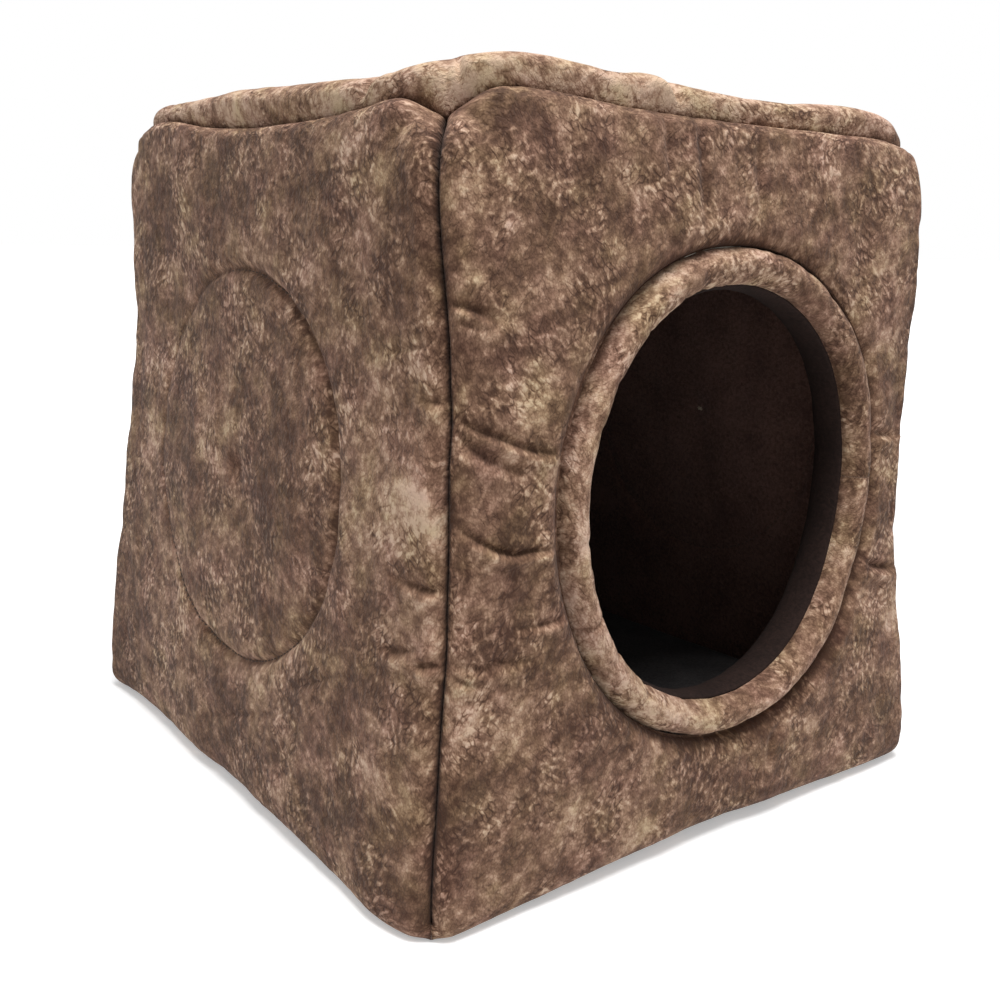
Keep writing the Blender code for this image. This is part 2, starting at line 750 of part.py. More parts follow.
def roof_inner_depth(across, along):
    from_side, from_end = roof_edge_distances(across, along)
    return both_edges(chamfered(from_side), chamfered(from_end))


def level_depth(across, along):
    return np.zeros(len(across))


def roof_sheet(shell, insets, depth_of, base=0.0):
    rings = []
    for inset in insets:
        across, along, keys = roof_rectangle(inset)
        points = roof_points(across, along, base + depth_of(across, along))
        rings.append(shell.loop(points, keys))
    zero = np.zeros(1)
    shell.chain(rings)
    shell.cap(rings[-1], roof_points(zero, zero, base + depth_of(zero, zero))[0])
    return rings[0]


def roof_layers(materials):
    quilt, foam, lining = Shell(), Shell(), Shell()
    middle = half_width(HEIGHT) / 2
    edges = (0.0, SEAM_REACH / 2, SEAM_REACH, middle)
    outer = roof_sheet(quilt, [*ROLL_RINGS, PUFF_PLACE, middle / 2, middle], roof_outer_depth)
    inner = roof_sheet(quilt, edges, roof_inner_depth, QUILT)
    quilt.zip(outer, inner)
    quilt.finish("roof_quilted_panel", materials["suede"])
    start = QUILT + GAP
    outer = roof_sheet(foam, edges, roof_inner_depth, start)
    inner = roof_sheet(foam, (0.0, middle), level_depth, start + FOAM)
    foam.zip(outer, inner)
    foam.finish("roof_foam_board", materials["foam"])
    start += FOAM + GAP
    outer = roof_sheet(lining, (0.0, middle), level_depth, start)
    inner = roof_sheet(lining, (0.0, middle), level_depth, start + LINING)
    lining.zip(outer, inner)
    lining.finish("roof_lining", materials["plush"])


def base_layer(name, low, high, material):
    """A flat layer that fills the space between the walls."""
    shell = Shell()
    across, along, keys = square_loop()
    edges = []
    for height in (low, high):
        x = across * (half_width(height) - WALL - BASE_SIDE_GAP)
        y = along * (half_depth(height) - WALL - BASE_SIDE_GAP)
        points = drawn(np.stack([x, y, np.full(len(x), height)], axis=1))
        edges.append(shell.loop(points, keys))
        shell.cap(edges[-1], (0.0, 0.0, height))
    shell.zip(*edges)
    shell.finish(name, material)


def base_layers(materials):
    base_layer("base_fabric", 0.0, BASE_FABRIC, materials["base"])
    foam_low = BASE_FABRIC + GAP
    base_layer("base_foam_board", foam_low, foam_low + BASE_FOAM, materials["foam"])
    base_layer("base_lining", BASE_TOP - BASE_LINING, BASE_TOP, materials["plush"])


def cushion_outline(inset):
    """The cushion's plan: straight sides drawn in between rounded corners."""
    top = BASE_TOP + CUSHION_THICKNESS
    wide = half_width(top) - WALL - CUSHION_SIDE_GAP - inset
    deep = half_depth(top) - WALL - CUSHION_SIDE_GAP - inset
    angles = ring_angles() + np.pi / RING_SEGMENTS
    x, y = np.cos(angles), np.sin(angles)
    bound = np.maximum(np.abs(x) / wide, np.abs(y) / deep)
    x, y = x / bound, y / bound
    core_x = np.clip(x, CUSHION_CORNER_RADIUS - wide, wide - CUSHION_CORNER_RADIUS)
    core_y = np.clip(y, CUSHION_CORNER_RADIUS - deep, deep - CUSHION_CORNER_RADIUS)
    in_corner = (core_x != x) & (core_y != y)
    length = np.where(in_corner, np.hypot(x - core_x, y - core_y), 1.0)
    share = np.where(in_corner, CUSHION_CORNER_RADIUS / length, 1.0)
    draw_x = np.where(core_x != x, CUSHION_DRAW_IN * np.cos(np.pi / 2 * y / deep), 0.0)
    draw_y = np.where(core_y != y, CUSHION_DRAW_IN * np.cos(np.pi / 2 * x / wide), 0.0)
    new_x = core_x + (x - core_x) * share - np.sign(x) * draw_x
    new_y = core_y + (y - core_y) * share - np.sign(y) * draw_y
    return new_x, new_y


def cushion_rings(shell, levels):
    """Loops of the cushion's plan, each given as (inset, height)."""
    rings = []
    for inset, height in levels:
        x, y = cushion_outline(inset)
        points = np.stack([x, y, np.full(len(x), height)], axis=1)
        rings.append(shell.loop(points, ring_keys(RING_SEGMENTS)))
    shell.chain(rings)
    return rings


def cushion_profile(skin, seam_gap=0.0):
    """The lower and the upper half of the cushion's profile, each from its seam inwards, this
    far inside the covers' outer face."""
    low = BASE_TOP + GAP
    seam = low + CUSHION_THICKNESS / 2
    high = low + CUSHION_THICKNESS
    lower = [
        (skin, seam - seam_gap),
        (SHOULDER_INSET + skin, seam - SHOULDER_RISE + skin),
        (BROW_INSET, low + skin),
    ]
    upper = [
        (skin, seam + seam_gap),
        (SHOULDER_INSET + skin, seam + SHOULDER_RISE - skin),
        (BROW_INSET, high - BROW_DROP - skin),
        (TOP_INSET, high + TOP_RISE - skin),
    ]
    return lower, upper, low + skin, high + CUSHION_CROWN - skin


def cushion_cover(name, outer, inner, material):
    """One cover, between an outer and an inner profile, each with its centre's height."""
    shell = Shell()
    edges = []
    for levels, centre_height in (outer, inner):
        rings = cushion_rings(shell, levels)
        shell.cap(rings[-1], (0.0, 0.0, centre_height))
        edges.append(rings[0])
    shell.zip(*edges)
    shell.finish(name, material)


def cushion(materials):
    """A stuffed cushion in two covers that meet in a seam round its edge."""
    lower, upper, floor, crest = cushion_profile(0.0, GAP / 2)
    lower_in, upper_in, floor_in, crest_in = cushion_profile(CUSHION_FABRIC, GAP / 2)
    cover = materials["cushion"]
    cushion_cover("cushion_top_cover", (upper, crest), (upper_in, crest_in), cover)
    cushion_cover("cushion_bottom_cover", (lower, floor), (lower_in, floor_in), cover)
    filling = Shell()
    lower, upper, floor, crest = cushion_profile(CUSHION_FABRIC + GAP)
    rings = cushion_rings(filling, [*lower[:0:-1], *upper])
    filling.cap(rings[0], (0.0, 0.0, floor))
    filling.cap(rings[-1], (0.0, 0.0, crest))
    filling.finish("cushion_filling", materials["foam"])


def main():
    clear_scene()
    materials = {
        "suede": make_material("mottled_suede", (0.19, 0.117, 0.078), 0.8),
        "plush": make_material("brown_plush", (0.040, 0.022, 0.017), 0.95),
        "base": make_material("dark_base_fabric", (0.03, 0.025, 0.022), 0.9),
        "cushion": make_material("charcoal_fleece", (0.018, 0.019, 0.024), 0.95),
        "foam": make_material("padding", (0.75, 0.72, 0.62), 0.9),
        "thread": make_material("brown_thread", (0.06, 0.035, 0.022), 0.7),
        "tack": make_material("pale_thread", (0.45, 0.36, 0.27), 0.7),
    }
    for side in SIDES:
        if side == "front":
            front_quilt(materials["suede"])
        else:
            plain_wall_quilt(side, materials["suede"])
            quilting_thread(side, materials["thread"])
            wall_tacks(side, materials["thread"], materials["tack"])
        wall_foam(side, materials["foam"])
        wall_lining(side, materials["plush"])
    entrance_rim(materials)
    roof_layers(materials)
    base_layers(materials)
    cushion(materials)


main()
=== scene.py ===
"""Looks of a padded cat cube: crushed suede panels rolled into their seams, a stuffed entrance
rim, sewn circles with thread tacks, a dark plush lining and a loose floor cushion.
Every shape is a surface worked out on a grid with numpy, in metres, in the CAD's own frame."""

import bpy
import numpy as np
from mathutils import Matrix


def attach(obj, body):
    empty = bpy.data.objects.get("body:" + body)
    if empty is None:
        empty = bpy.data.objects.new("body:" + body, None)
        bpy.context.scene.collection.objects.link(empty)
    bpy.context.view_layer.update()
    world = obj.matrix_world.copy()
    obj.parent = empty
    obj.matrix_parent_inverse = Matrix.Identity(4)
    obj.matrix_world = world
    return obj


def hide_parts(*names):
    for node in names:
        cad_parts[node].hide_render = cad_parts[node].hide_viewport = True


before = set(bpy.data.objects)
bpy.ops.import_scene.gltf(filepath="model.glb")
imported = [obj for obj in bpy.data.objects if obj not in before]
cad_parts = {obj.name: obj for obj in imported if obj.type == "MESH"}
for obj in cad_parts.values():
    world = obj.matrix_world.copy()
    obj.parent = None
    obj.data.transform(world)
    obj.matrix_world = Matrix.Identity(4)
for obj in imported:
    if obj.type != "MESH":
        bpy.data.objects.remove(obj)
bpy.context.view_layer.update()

# Size of the cube over the flat of its walls and roof, and the layers of a wall
WIDTH_LOW, WIDTH_HIGH = 0.405, 0.365
DEPTH_LOW, DEPTH_HIGH = 0.445, 0.386
HEIGHT = 0.420
ROOF_HALF = (WIDTH_HIGH / 2, DEPTH_HIGH / 2)
GAP = 0.0003
QUILT, FOAM, LINING = 0.006, 0.016, 0.003
WALL = QUILT + FOAM + LINING + 2 * GAP
BASE_TOP, BASE_CLOTH, BASE_LINING = 0.0126, 0.002, 0.002
SEAM_GAP = 0.00005

# Padding: rolled seams, sunk corners, crowns and the turned-under floor edge
SEAM_ROLL = 0.0068
SEAM_REACH = (1 + np.sqrt(2)) * SEAM_ROLL
SEAM_DEPTH = (1 + np.sqrt(0.5)) * SEAM_ROLL
# Pulls inwards where three seams meet, for each corner (x end, y end): of the whole wall, and of
# the cloth alone. Each fades beside the corner's diagonal (spread) and inside (reach)
CORNER_PULLS = {(-1, -1): 0.0090, (1, -1): 0.0030, (-1, 1): 0.0070, (1, 1): 0.0030}
PULL_SPREAD, PULL_REACH = 0.022, 0.050
CLOTH_PULLS = {(-1, -1): 0.0054, (1, -1): 0.0006, (-1, 1): 0.0010, (1, 1): 0.0010}
CLOTH_SPREAD, CLOTH_REACH = 0.030, 0.018
# How far the cloth sinks at those corners
CLOTH_SINKS = {(-1, -1): 0.0, (1, -1): 0.0048, (-1, 1): 0.0, (1, 1): 0.0015}
# The foot of each upright seam is rounded off
FOOT_PULL, FOOT_SPREAD, FOOT_REACH = 0.0034, 0.009, 0.013
WALL_CROWN, ROOF_CROWN = 0.006, 0.0095
# Radius of the turned-under floor edge, along the walls and at each corner
FLOOR_ROLL = 0.016
CORNER_ROLLS = {(-1, -1): 0.008, (1, -1): 0.014, (-1, 1): 0.012, (1, 1): 0.012}
# A panel's section is counted in metres up from its edge under the floor
FLOOR_ARC = FLOOR_ROLL * np.pi / 2
RUN_TOP = FLOOR_ARC + HEIGHT - FLOOR_ROLL
FLANGE = FLOOR_ROLL - WALL
# The least thickness of a panel, as a share of its quilting's
LEAST_QUILT = 0.9
# Beside a seam the relief starts at the first distance and grows over the second
SEAM_FLAT, SEAM_FADE = 0.002, 0.009
# The linings stand proud of the foam and are drawn back at their seams, with these reaches
LINING_PROUD, LINING_SEAM, ROOF_LINING_SEAM = 0.0011, 0.0012, 0.0024
LINING_SEAM_FADE, LINING_SOFT_FADE = 0.007, 0.012
# A distance from the seams at which they no longer matter
CLEAR = 0.1

# Gathers along a seam: the pitch of the folds, their depth and how far they run
SIDE_GATHERS = (0.015, 0.0017, 0.014)
TOP_GATHERS = (0.013, 0.0012, 0.016)
ENTRANCE_GATHERS = (0.012, 0.0026, 0.011)
CIRCLE_GATHERS = (0.011, 0.0007, 0.010)
ROOF_SIDE_GATHERS = (0.017, 0.0015, 0.014)
ROOF_END_GATHERS = (0.016, 0.0015, 0.014)
CUSHION_GATHERS = (0.022, 0.0030, 0.020)
# Soft unevenness of a surface: (rise, size, seed, layers)
WALL_SOFT = [(0.0011, 0.060, 11, 2)]
WALL_RIPPLES = [(0.0005, 0.016, 14, 3)]
ROOF_SOFT = [(0.0013, 0.070, 21, 2), (0.0003, 0.016, 24, 2)]
LINING_SOFT = [(0.0007, 0.045, 41, 2), (0.00025, 0.009, 44, 2)]
ROOF_LINING_SOFT = [(0.0007, 0.045, 46, 2)]
CUSHION_SOFT = [(0.0013, 0.060, 101, 2), (0.0003, 0.011, 104, 2)]

# Sewn circles: world place along the wall, height and radius
CIRCLES = {
    "left": (0.0, 0.207, 0.118),
    "back": (0.0, 0.207, 0.118),
    "right": (-0.040, 0.222, 0.108),
}
# Their bells, each (half width, depth): the thread's groove, a softer one round it, the tack's
# dimple, and the groove and the dimple in the lining
THREAD_GROOVE, SOFT_GROOVE, DIMPLE = (0.0026, 0.0030), (0.0085, 0.0016), (0.0085, 0.0036)
LINING_GROOVE, LINING_DIMPLE = (0.004, 0.0013), (0.008, 0.0012)
# The swelling inside them: its place and half width as shares of the radius, and its rise
CIRCLE_SWELL_AT, CIRCLE_SWELL_WIDE, CIRCLE_SWELL = 0.62, 0.28, 0.0012

# Entrance: its clear oval and the stuffed rim round it
OVAL_HALF = (0.1091, 0.1191)
OVAL_CENTRE = (0.015, 0.202)
RIM_WIDTH, RIM_PROUD = 0.024, 0.007
RIM_THIN = 0.004
RIM_SEAT = 0.0234
RIM_SEAM_DEPTH, RIM_LIP = 0.0050, 0.010
RIM_JOINT_ANGLE = np.radians(204)
# The rim's folds, its lumps (rise, size, seed, layers), the joint of its two ends and the seam of
# its facing, both (half width, rise), the most it may sink, and how much it is sunk under the facing
RIM_FOLD, RIM_SINK, FACING_SEAT = 0.0017, 0.0021, 0.0016
RIM_LUMPS = [(0.0008, 0.030, 97, 1), (0.0003, 0.008, 98, 1)]
RIM_JOINT, FACING_SEAM = (0.0014, -0.0019), (0.09, -0.0012)
# The rim's cloth: its mean tone, and how much painted shade darkens it on its right and painted light
# brightens it on its left
RIM_TONE, RIM_PAINTED_SIDE_LIGHT = 0.185, 0.12
# Mean radius of the rim and of its section, which turn angles into lengths of cloth
RIM_RADIUS, RIM_THICK = 0.123, 0.016
# The suede of the rim ends on its inner side, where the plush facing is sewn to it
FACING_START, FACING_END = np.radians(158), np.radians(338)
# Half the facing's thickness and how deep its hidden back lies in the rim
FACING_HALF, FACING_BACK = 0.0006, 0.002

# How far the cube is drawn from its straight lines, at even steps from end to end of each edge.
# Upright seams: shift along x and along y, from the floor up
BOW_START = 0.020
UPRIGHT_BOWS = {
    (-1, -1): (
        (0.0, 0.0025, 0.0059, 0.0061, 0.0058, -0.0001, 0.0),
        (0.0, -0.0010, -0.0023, -0.0024, -0.0022, 0.0, 0.0),
    ),
    (-1, 1): (
        (-0.0061, -0.0021, 0.0015, 0.0040, 0.0066, 0.0038, 0.0),
        (0.0061, 0.0021, -0.0015, -0.0040, -0.0066, -0.0038, 0.0),
    ),
    (1, -1): (
        (0.0, -0.0025, -0.0050, -0.0019, 0.0026, 0.0060, 0.0070),
        (0.0, 0.0025, 0.0050, 0.0019, -0.0026, -0.0060, -0.0070),
    ),
    (1, 1): (
        (0.0, -0.0015, -0.0030, -0.0040, -0.0030, -0.0015, 0.0),
        (0.0, -0.0015, -0.0030, -0.0040, -0.0030, -0.0015, 0.0),
    ),
}
# Edges round the roof: lift, with x or y growing
TOP_LIFTS = {
    "front": (0.0, 0.0009, -0.0030, -0.0034, -0.0025, -0.0011, 0.0),
    "back": (0.0, -0.0020, 0.0010, 0.0015, 0.0010, 0.0010, 0.0),
    "left": (0.0, -0.0097, -0.0117, -0.0099, -0.0037, 0.0061, 0.0),
    "right": (0.0, 0.0010, -0.0010, -0.0020, -0.0010, 0.0010, 0.0),
}
CORNER_LIFTS = {(-1, -1): 0.0044, (1, -1): -0.0050, (-1, 1): -0.0026, (1, 1): 0.0}
# Edges round the floor: outward shift and lift
LOW_BOWS = {
    "front": (0.0, 0.0013, 0.0, -0.0018, 0.0008, 0.0014, 0.0),
    "back": (0.0, 0.0020, 0.0, -0.0010, 0.0, 0.0020, 0.0),
    "left": (
        0.0, 0.0090, 0.0080, 0.0056, 0.0034, 0.0012, -0.0003, -0.0003, -0.0003, -0.0030, -0.0050,
        -0.0040, 0.0,
    ),
    "right": (0.0, 0.0020, 0.0010, 0.0, -0.0010, 0.0010, 0.0),
}
LOW_LIFTS = {
    "front": (0.0, 0.0010, 0.0028, 0.0035, 0.0028, 0.0010, 0.0),
    "back": (0.0, 0.0, 0.0005, 0.0010, 0.0005, 0.0, 0.0),
    "left": (0.0, 0.0),
    "right": (0.0, 0.0, 0.0005, 0.0010, 0.0005, 0.0, 0.0),
}
# Roof's padding beside each edge: extra rise
ROOF_PUFFS = {
    "front": (0.0, 0.0058, 0.0070, 0.0050, 0.0034, 0.0064, 0.0),
    "back": (0.0, 0.0020, 0.0010, 0.0, 0.0010, 0.0010, 0.0),
    "left": (0.0, 0.0030, 0.0095, 0.0106, 0.0073, 0.0, 0.0),
    "right": (0.0, 0.0045, 0.0015, 0.0010, 0.0020, 0.0, 0.0),
}
PUFF_PLACE, PUFF_SPREAD = 0.024, 0.022

# Folds in the cloth: the line of the valley as (place along the wall, height), its half width,
# its depth and how much of that depth stands up beside it as a ridge
FOLDS = {
    "front": [
        (((-0.182, 0.316), (-0.168, 0.313), (-0.154, 0.307)), 0.0030, 0.0030, 0.7),
        (((-0.181, 0.309), (-0.170, 0.305), (-0.158, 0.301)), 0.0022, 0.0018, 0.5),
        (((-0.181, 0.266), (-0.169, 0.2565), (-0.155, 0.2515), (-0.135, 0.2435), (-0.116, 0.240)),
         0.0021, 0.0026, 0.6),
        (((-0.181, 0.258), (-0.169, 0.248), (-0.156, 0.2405), (-0.139, 0.2335)), 0.0038, 0.0030, 0.4),
        (((-0.177, 0.2085), (-0.1665, 0.2017), (-0.157, 0.1965), (-0.147, 0.1934), (-0.137, 0.194),
          (-0.121, 0.193)), 0.0016, 0.0030, 0.7),
        (((-0.148, 0.156), (-0.127, 0.1555), (-0.112, 0.1565)), 0.0018, 0.0016, 0.5),
        (((-0.183, 0.1440), (-0.1686, 0.1393), (-0.1564, 0.1408), (-0.1380, 0.1380)), 0.0026, 0.0018, 0.5),
        (((-0.186, 0.1384), (-0.176, 0.1333), (-0.168, 0.131)), 0.0016, 0.0016, 0.4),
        (((0.146, 0.1430), (0.160, 0.1390), (0.176, 0.1351)), 0.0026, 0.0034, 0.6),
        (((0.146, 0.2290), (0.158, 0.2265), (0.171, 0.2242)), 0.0024, 0.0026, 0.6),
        (((-0.017, 0.408), (-0.0155, 0.378), (-0.0143, 0.348)), 0.0034, 0.0012, 0.5),
        (((-0.042, 0.408), (-0.041, 0.392), (-0.0399, 0.376)), 0.0030, 0.0012, 0.5),
        (((0.030, 0.406), (0.028, 0.385), (0.030, 0.362)), 0.0030, 0.0010, 0.5),
        (((0.060, 0.060), (0.048, 0.048), (0.046, 0.034)), 0.0034, 0.0014, 0.4),
    ],
    "left": [
        (((-0.176, 0.1800), (-0.1907, 0.1792), (-0.2064, 0.1783), (-0.217, 0.1789)), 0.0020, 0.0022, 0.6),
        (((-0.169, 0.1423), (-0.1815, 0.1433), (-0.1974, 0.1486)), 0.0022, 0.0020, 0.7),
        (((-0.195, 0.1408), (-0.2092, 0.1427), (-0.222, 0.1473)), 0.0018, 0.0030, 0.8),
        (((-0.190, 0.2695), (-0.2069, 0.2667), (-0.216, 0.2647)), 0.0024, 0.0022, 0.6),
        (((-0.160, 0.2890), (-0.177, 0.2923), (-0.192, 0.2948)), 0.0018, 0.0012, 0.4),
        (((0.030, 0.0390), (-0.0175, 0.0558), (-0.0787, 0.078)), 0.0026, 0.0010, 0.4),
        (((-0.0828, 0.0943), (-0.1058, 0.1041), (-0.1274, 0.1149)), 0.0022, 0.0010, 0.4),
    ],
    "back": [
        (((-0.170, 0.150), (-0.150, 0.146), (-0.128, 0.150)), 0.0022, 0.0022, 0.6),
        (((0.176, 0.262), (0.158, 0.255), (0.136, 0.252)), 0.0024, 0.0024, 0.6),
        (((0.180, 0.120), (0.164, 0.123), (0.148, 0.120)), 0.0020, 0.0018, 0.5),
    ],
    "right": [
        (((-0.205, 0.210), (-0.190, 0.206), (-0.168, 0.208)), 0.0024, 0.0024, 0.6),
        (((0.198, 0.155), (0.180, 0.160), (0.160, 0.158)), 0.0022, 0.0022, 0.6),
        (((0.190, 0.300), (0.174, 0.296), (0.158, 0.298)), 0.0022, 0.0018, 0.5),
    ],
}
# The walls' folds are this much deeper than in the table
FOLD_STRENGTH = 1.5
# Folds of the roof's edge, in metres from its middle
ROOF_FOLDS = [
    (((-0.022, -0.190), (-0.030, -0.176), (-0.046, -0.160)), 0.0045, 0.0040, 0.5),
    (((-0.186, -0.110), (-0.172, -0.120), (-0.160, -0.134)), 0.0045, 0.0035, 0.5),
    (((-0.166, -0.186), (-0.158, -0.176), (-0.152, -0.168)), 0.0016, 0.0020, 0.3),
]

# Soft swellings of the padding: (place along the wall, height, spread along, spread up, rise)
SWELLS = {
    "front": [
        (-0.150, 0.350, 0.030, 0.040, 0.0018),
        (0.150, 0.330, 0.022, 0.050, 0.0015),
        (-0.155, 0.170, 0.022, 0.020, 0.0015),
    ],
    "left": [
        (-0.190, 0.222, 0.026, 0.030, 0.0024),
        (0.150, 0.300, 0.040, 0.050, 0.0015),
        (-0.190, 0.110, 0.025, 0.022, 0.0015),
    ],
    "back": [(0.080, 0.330, 0.050, 0.040, 0.0018), (-0.120, 0.100, 0.040, 0.040, 0.0015)],
    "right": [(0.120, 0.330, 0.050, 0.040, 0.0018), (-0.150, 0.100, 0.030, 0.040, 0.0015)],
}
# The left lining bulges in its low front corner, where the foam behind it comes forward
LINING_SWELLS = {"left": [(-0.185, 0.025, 0.040, 0.050, 0.0045)]}

# Paler and darker areas of the cloth: (place along, height, spread along, spread up, tone)
TONES = {
    "front": [
        # The front's first two are painted highlights: glints high on its left part
        (-0.158, 0.362, 0.014, 0.040, 0.09),
        (-0.100, 0.330, 0.035, 0.030, 0.07),
        (0.160, 0.220, 0.026, 0.120, 0.09),
        (0.040, 0.370, 0.110, 0.040, 0.05),
    ],
    "left": [
        # The left's first two are partly paler cloth and partly painted highlights, the first on the swelling
        # beside its front seam
        (-0.190, 0.224, 0.030, 0.026, 0.46),
        (0.140, 0.236, 0.022, 0.040, 0.16),
        (-0.05, 0.36, 0.09, 0.03, -0.06),
        (0.00, 0.23, 0.04, 0.05, -0.05),
    ],
    "back": [(0.100, 0.250, 0.030, 0.030, 0.20), (-0.080, 0.120, 0.040, 0.030, -0.06)],
    "right": [(0.120, 0.200, 0.030, 0.036, 0.22), (-0.060, 0.340, 0.050, 0.024, -0.06)],
    # The roof's are painted light, partly over paler tan cloth: over the whole top, and more along its front
    # and left edges
    "roof": [
        (0.000, 0.000, 0.400, 0.400, 0.14),
        (0.000, -0.190, 0.300, 0.030, 0.26),
        (-0.185, 0.020, 0.030, 0.200, 0.26),
    ],
}

# Each wall: the world axis that it runs along, the way its own across axis points on that, and
# the way it faces on the other
SIDES = {"front": (0, 1, -1), "back": (0, -1, 1), "left": (1, -1, -1), "right": (1, 1, 1)}
noise_tables = {}


def lattice(seed):
    """A table of even random values, drawn once for each seed."""
    if seed not in noise_tables:
        noise_tables[seed] = np.random.default_rng(seed).uniform(-1, 1, (128, 128))
    return noise_tables[seed]


def soft_noise(u, v, size, seed):
    """Random values on a square lattice of this size, blended with the curve t*t*(3 - 2t)."""
    table = lattice(seed)
    a, b = u / size + 37.3, v / size + 51.7
    i, j = np.floor(a).astype(int), np.floor(b).astype(int)
    s, t = a - i, b - j
    s, t = s * s * (3 - 2 * s), t * t * (3 - 2 * t)
    low = table[i % 128, j % 128] * (1 - s) + table[(i + 1) % 128, j % 128] * s
    high = table[i % 128, (j + 1) % 128] * (1 - s) + table[(i + 1) % 128, (j + 1) % 128] * s
    return low * (1 - t) + high * t


def layered(u, v, size, seed, layers=3):
    """Soft noise added to itself at half the size and half the height, layer by layer."""
    return sum(soft_noise(u, v, size / 2**k, seed + k) / 2**k for k in range(layers))


def uneven(u, v, parts):
    """The sum of layered noises, each given as its rise, size, seed and layers."""
    return sum(rise * layered(u, v, size, seed, layers) for rise, size, seed, layers in parts)


def smooth_step(value):
    """The curve t*t*(3 - 2t) from 0 to 1, flat outside."""
    value = np.clip(value, 0, 1)
    return value * value * (3 - 2 * value)


def bell(distance, width, height=1.0):
    """A bell: e to the power of minus the square of distance over width, times the height."""
    return height * np.exp(-((distance / width) ** 2))


def area(place, height, at, level, spread, tall):
    """A bell along the wall times a bell up it."""
    return bell(place - at, spread) * bell(height - level, tall)


def half_span(axis, height):
    """Half the cube's width (axis 0) or depth (axis 1) at a height: a straight taper."""
    low, high = (WIDTH_LOW, WIDTH_HIGH) if axis == 0 else (DEPTH_LOW, DEPTH_HIGH)
    return low / 2 + (high - low) / 2 * height / HEIGHT


def through(fraction, values):
    """The smooth curve that passes the values at even steps from 0 to 1: a cubic over each
    step, whose slopes are half the difference of the two neighbours."""
    last = len(values) - 1
    marks = np.array([values[0], *values, values[-1]])
    place = np.clip(fraction, 0, 1) * last
    step = np.minimum(place.astype(int), last - 1)
    t = place - step
    before, start, end, after = (marks[step + k] for k in range(4))
    rise_start, rise_end = (end - before) / 2, (after - start) / 2
    bend = 3 * (end - start) - 2 * rise_start - rise_end
    turn = 2 * (start - end) + rise_start + rise_end
    return start + t * (rise_start + t * (bend + t * turn))


def round_edges(curves, across, along):
    """Four edges' curves carried over the square between them, each fading in a straight line
    to the opposite edge."""
    u, v = (1 + across) / 2, (1 + along) / 2
    total = (1 - v) * through(u, curves["front"]) + v * through(u, curves["back"])
    return total + (1 - u) * through(v, curves["left"]) + u * through(v, curves["right"])


def corner_pull(points, x_end, y_end, spread, reach):
    """How strongly a point is pulled in where three seams meet: fully on the corner's diagonal,
    and less, as bells, with the distance beside it and the depth inside."""
    x, y, z = points[..., 0], points[..., 1], points[..., 2]
    inward = np.stack([half_span(0, z) - x_end * x, half_span(1, z) - y_end * y, HEIGHT - z])
    beside, deep = inward.max(axis=0) - inward.min(axis=0), inward.mean(axis=0)
    return bell(beside, spread) * bell(deep, reach)


def foot_pull(points, x_end, y_end):
    """How strongly a point is pulled in at the foot of an upright seam: bells of the distance
    beside the corner's diagonal, of the depth inside and of the height."""
    x, y, z = points[..., 0], points[..., 1], points[..., 2]
    first, second = half_span(0, z) - x_end * x, half_span(1, z) - y_end * y
    beside, deep = first - second, (first + second) / 2
    return bell(beside, FOOT_SPREAD) * bell(deep, FOOT_REACH) * bell(z, FOOT_REACH)


# Small waves of the upright seams: their size, length and seed
SEAM_WAVE, SEAM_WAVE_LENGTH, SEAM_WAVE_SEED = 0.0004, 0.022, 5


def drawn(points):
    """Moves points of the straight tapered cube: with its four bowed upright seams, blended
    between them in straight lines; inwards and down at its upper corners and inwards at its
    feet; with its lifted roof edges, fading with the sixth power of the height; and with its
    floor edges, fading with the fourth power of what is left above."""
    x, y, z = points[..., 0], points[..., 1], points[..., 2]
    rise = np.clip((z - BOW_START) / (HEIGHT - BOW_START), 0, 1)
    across = np.clip(x / half_span(0, z), -1, 1)
    along = np.clip(y / half_span(1, z), -1, 1)
    level = np.clip(z / HEIGHT, 0, 1)
    moved = points.copy()
    for corner, (bows_x, bows_y) in UPRIGHT_BOWS.items():
        x_end, y_end = corner
        share = (1 + x_end * across) * (1 + y_end * along) / 4
        wave = soft_noise(z, x_end + 3 * y_end + 0 * z, SEAM_WAVE_LENGTH, SEAM_WAVE_SEED)
        wave = SEAM_WAVE * wave * np.sin(np.pi * rise)
        cloth_pull = corner_pull(points, *corner, CLOTH_SPREAD, CLOTH_REACH)
        pull = CORNER_PULLS[corner] * corner_pull(points, *corner, PULL_SPREAD, PULL_REACH)
        pull = pull + CLOTH_PULLS[corner] * cloth_pull
        inward = pull + FOOT_PULL * foot_pull(points, *corner)
        moved[..., 0] += share * (through(rise, bows_x) + wave) - x_end * inward
        moved[..., 1] += share * (through(rise, bows_y) - wave) - y_end * inward
        sink = pull + CLOTH_SINKS[corner] * cloth_pull
        moved[..., 2] += share * CORNER_LIFTS[corner] * level**6 - sink
    moved[..., 2] += round_edges(TOP_LIFTS, across, along) * level**6
    low = (1 - level) ** 4
    u, v = (1 + across) / 2, (1 + along) / 2
    moved[..., 0] += low * (u * through(v, LOW_BOWS["right"]) - (1 - u) * through(v, LOW_BOWS["left"]))
    moved[..., 1] += low * (v * through(u, LOW_BOWS["back"]) - (1 - v) * through(u, LOW_BOWS["front"]))
    moved[..., 2] += round_edges(LOW_LIFTS, across, along) * low
    return moved


def rolled(distance):
    """Depth of a padded edge at a distance from its seam plane: a circular arc that leaves the
    flat face and meets the slanted seam plane edge on."""
    reach = np.clip(distance / (np.sqrt(2) * SEAM_ROLL) - 1, -1, np.sqrt(0.5))
    return SEAM_ROLL * (1 - np.sin(np.pi / 4 + np.arcsin(reach)))


def chamfered(distance):
    """The same in a straight line, for the hidden face behind the padded edge."""
    return SEAM_DEPTH * np.clip(1 - distance / SEAM_REACH, 0, 1)


def both_edges(first, second):
    """Two edges' depths in one: the fourth root of the sum of their fourth powers."""
    return (first**4 + second**4) ** 0.25


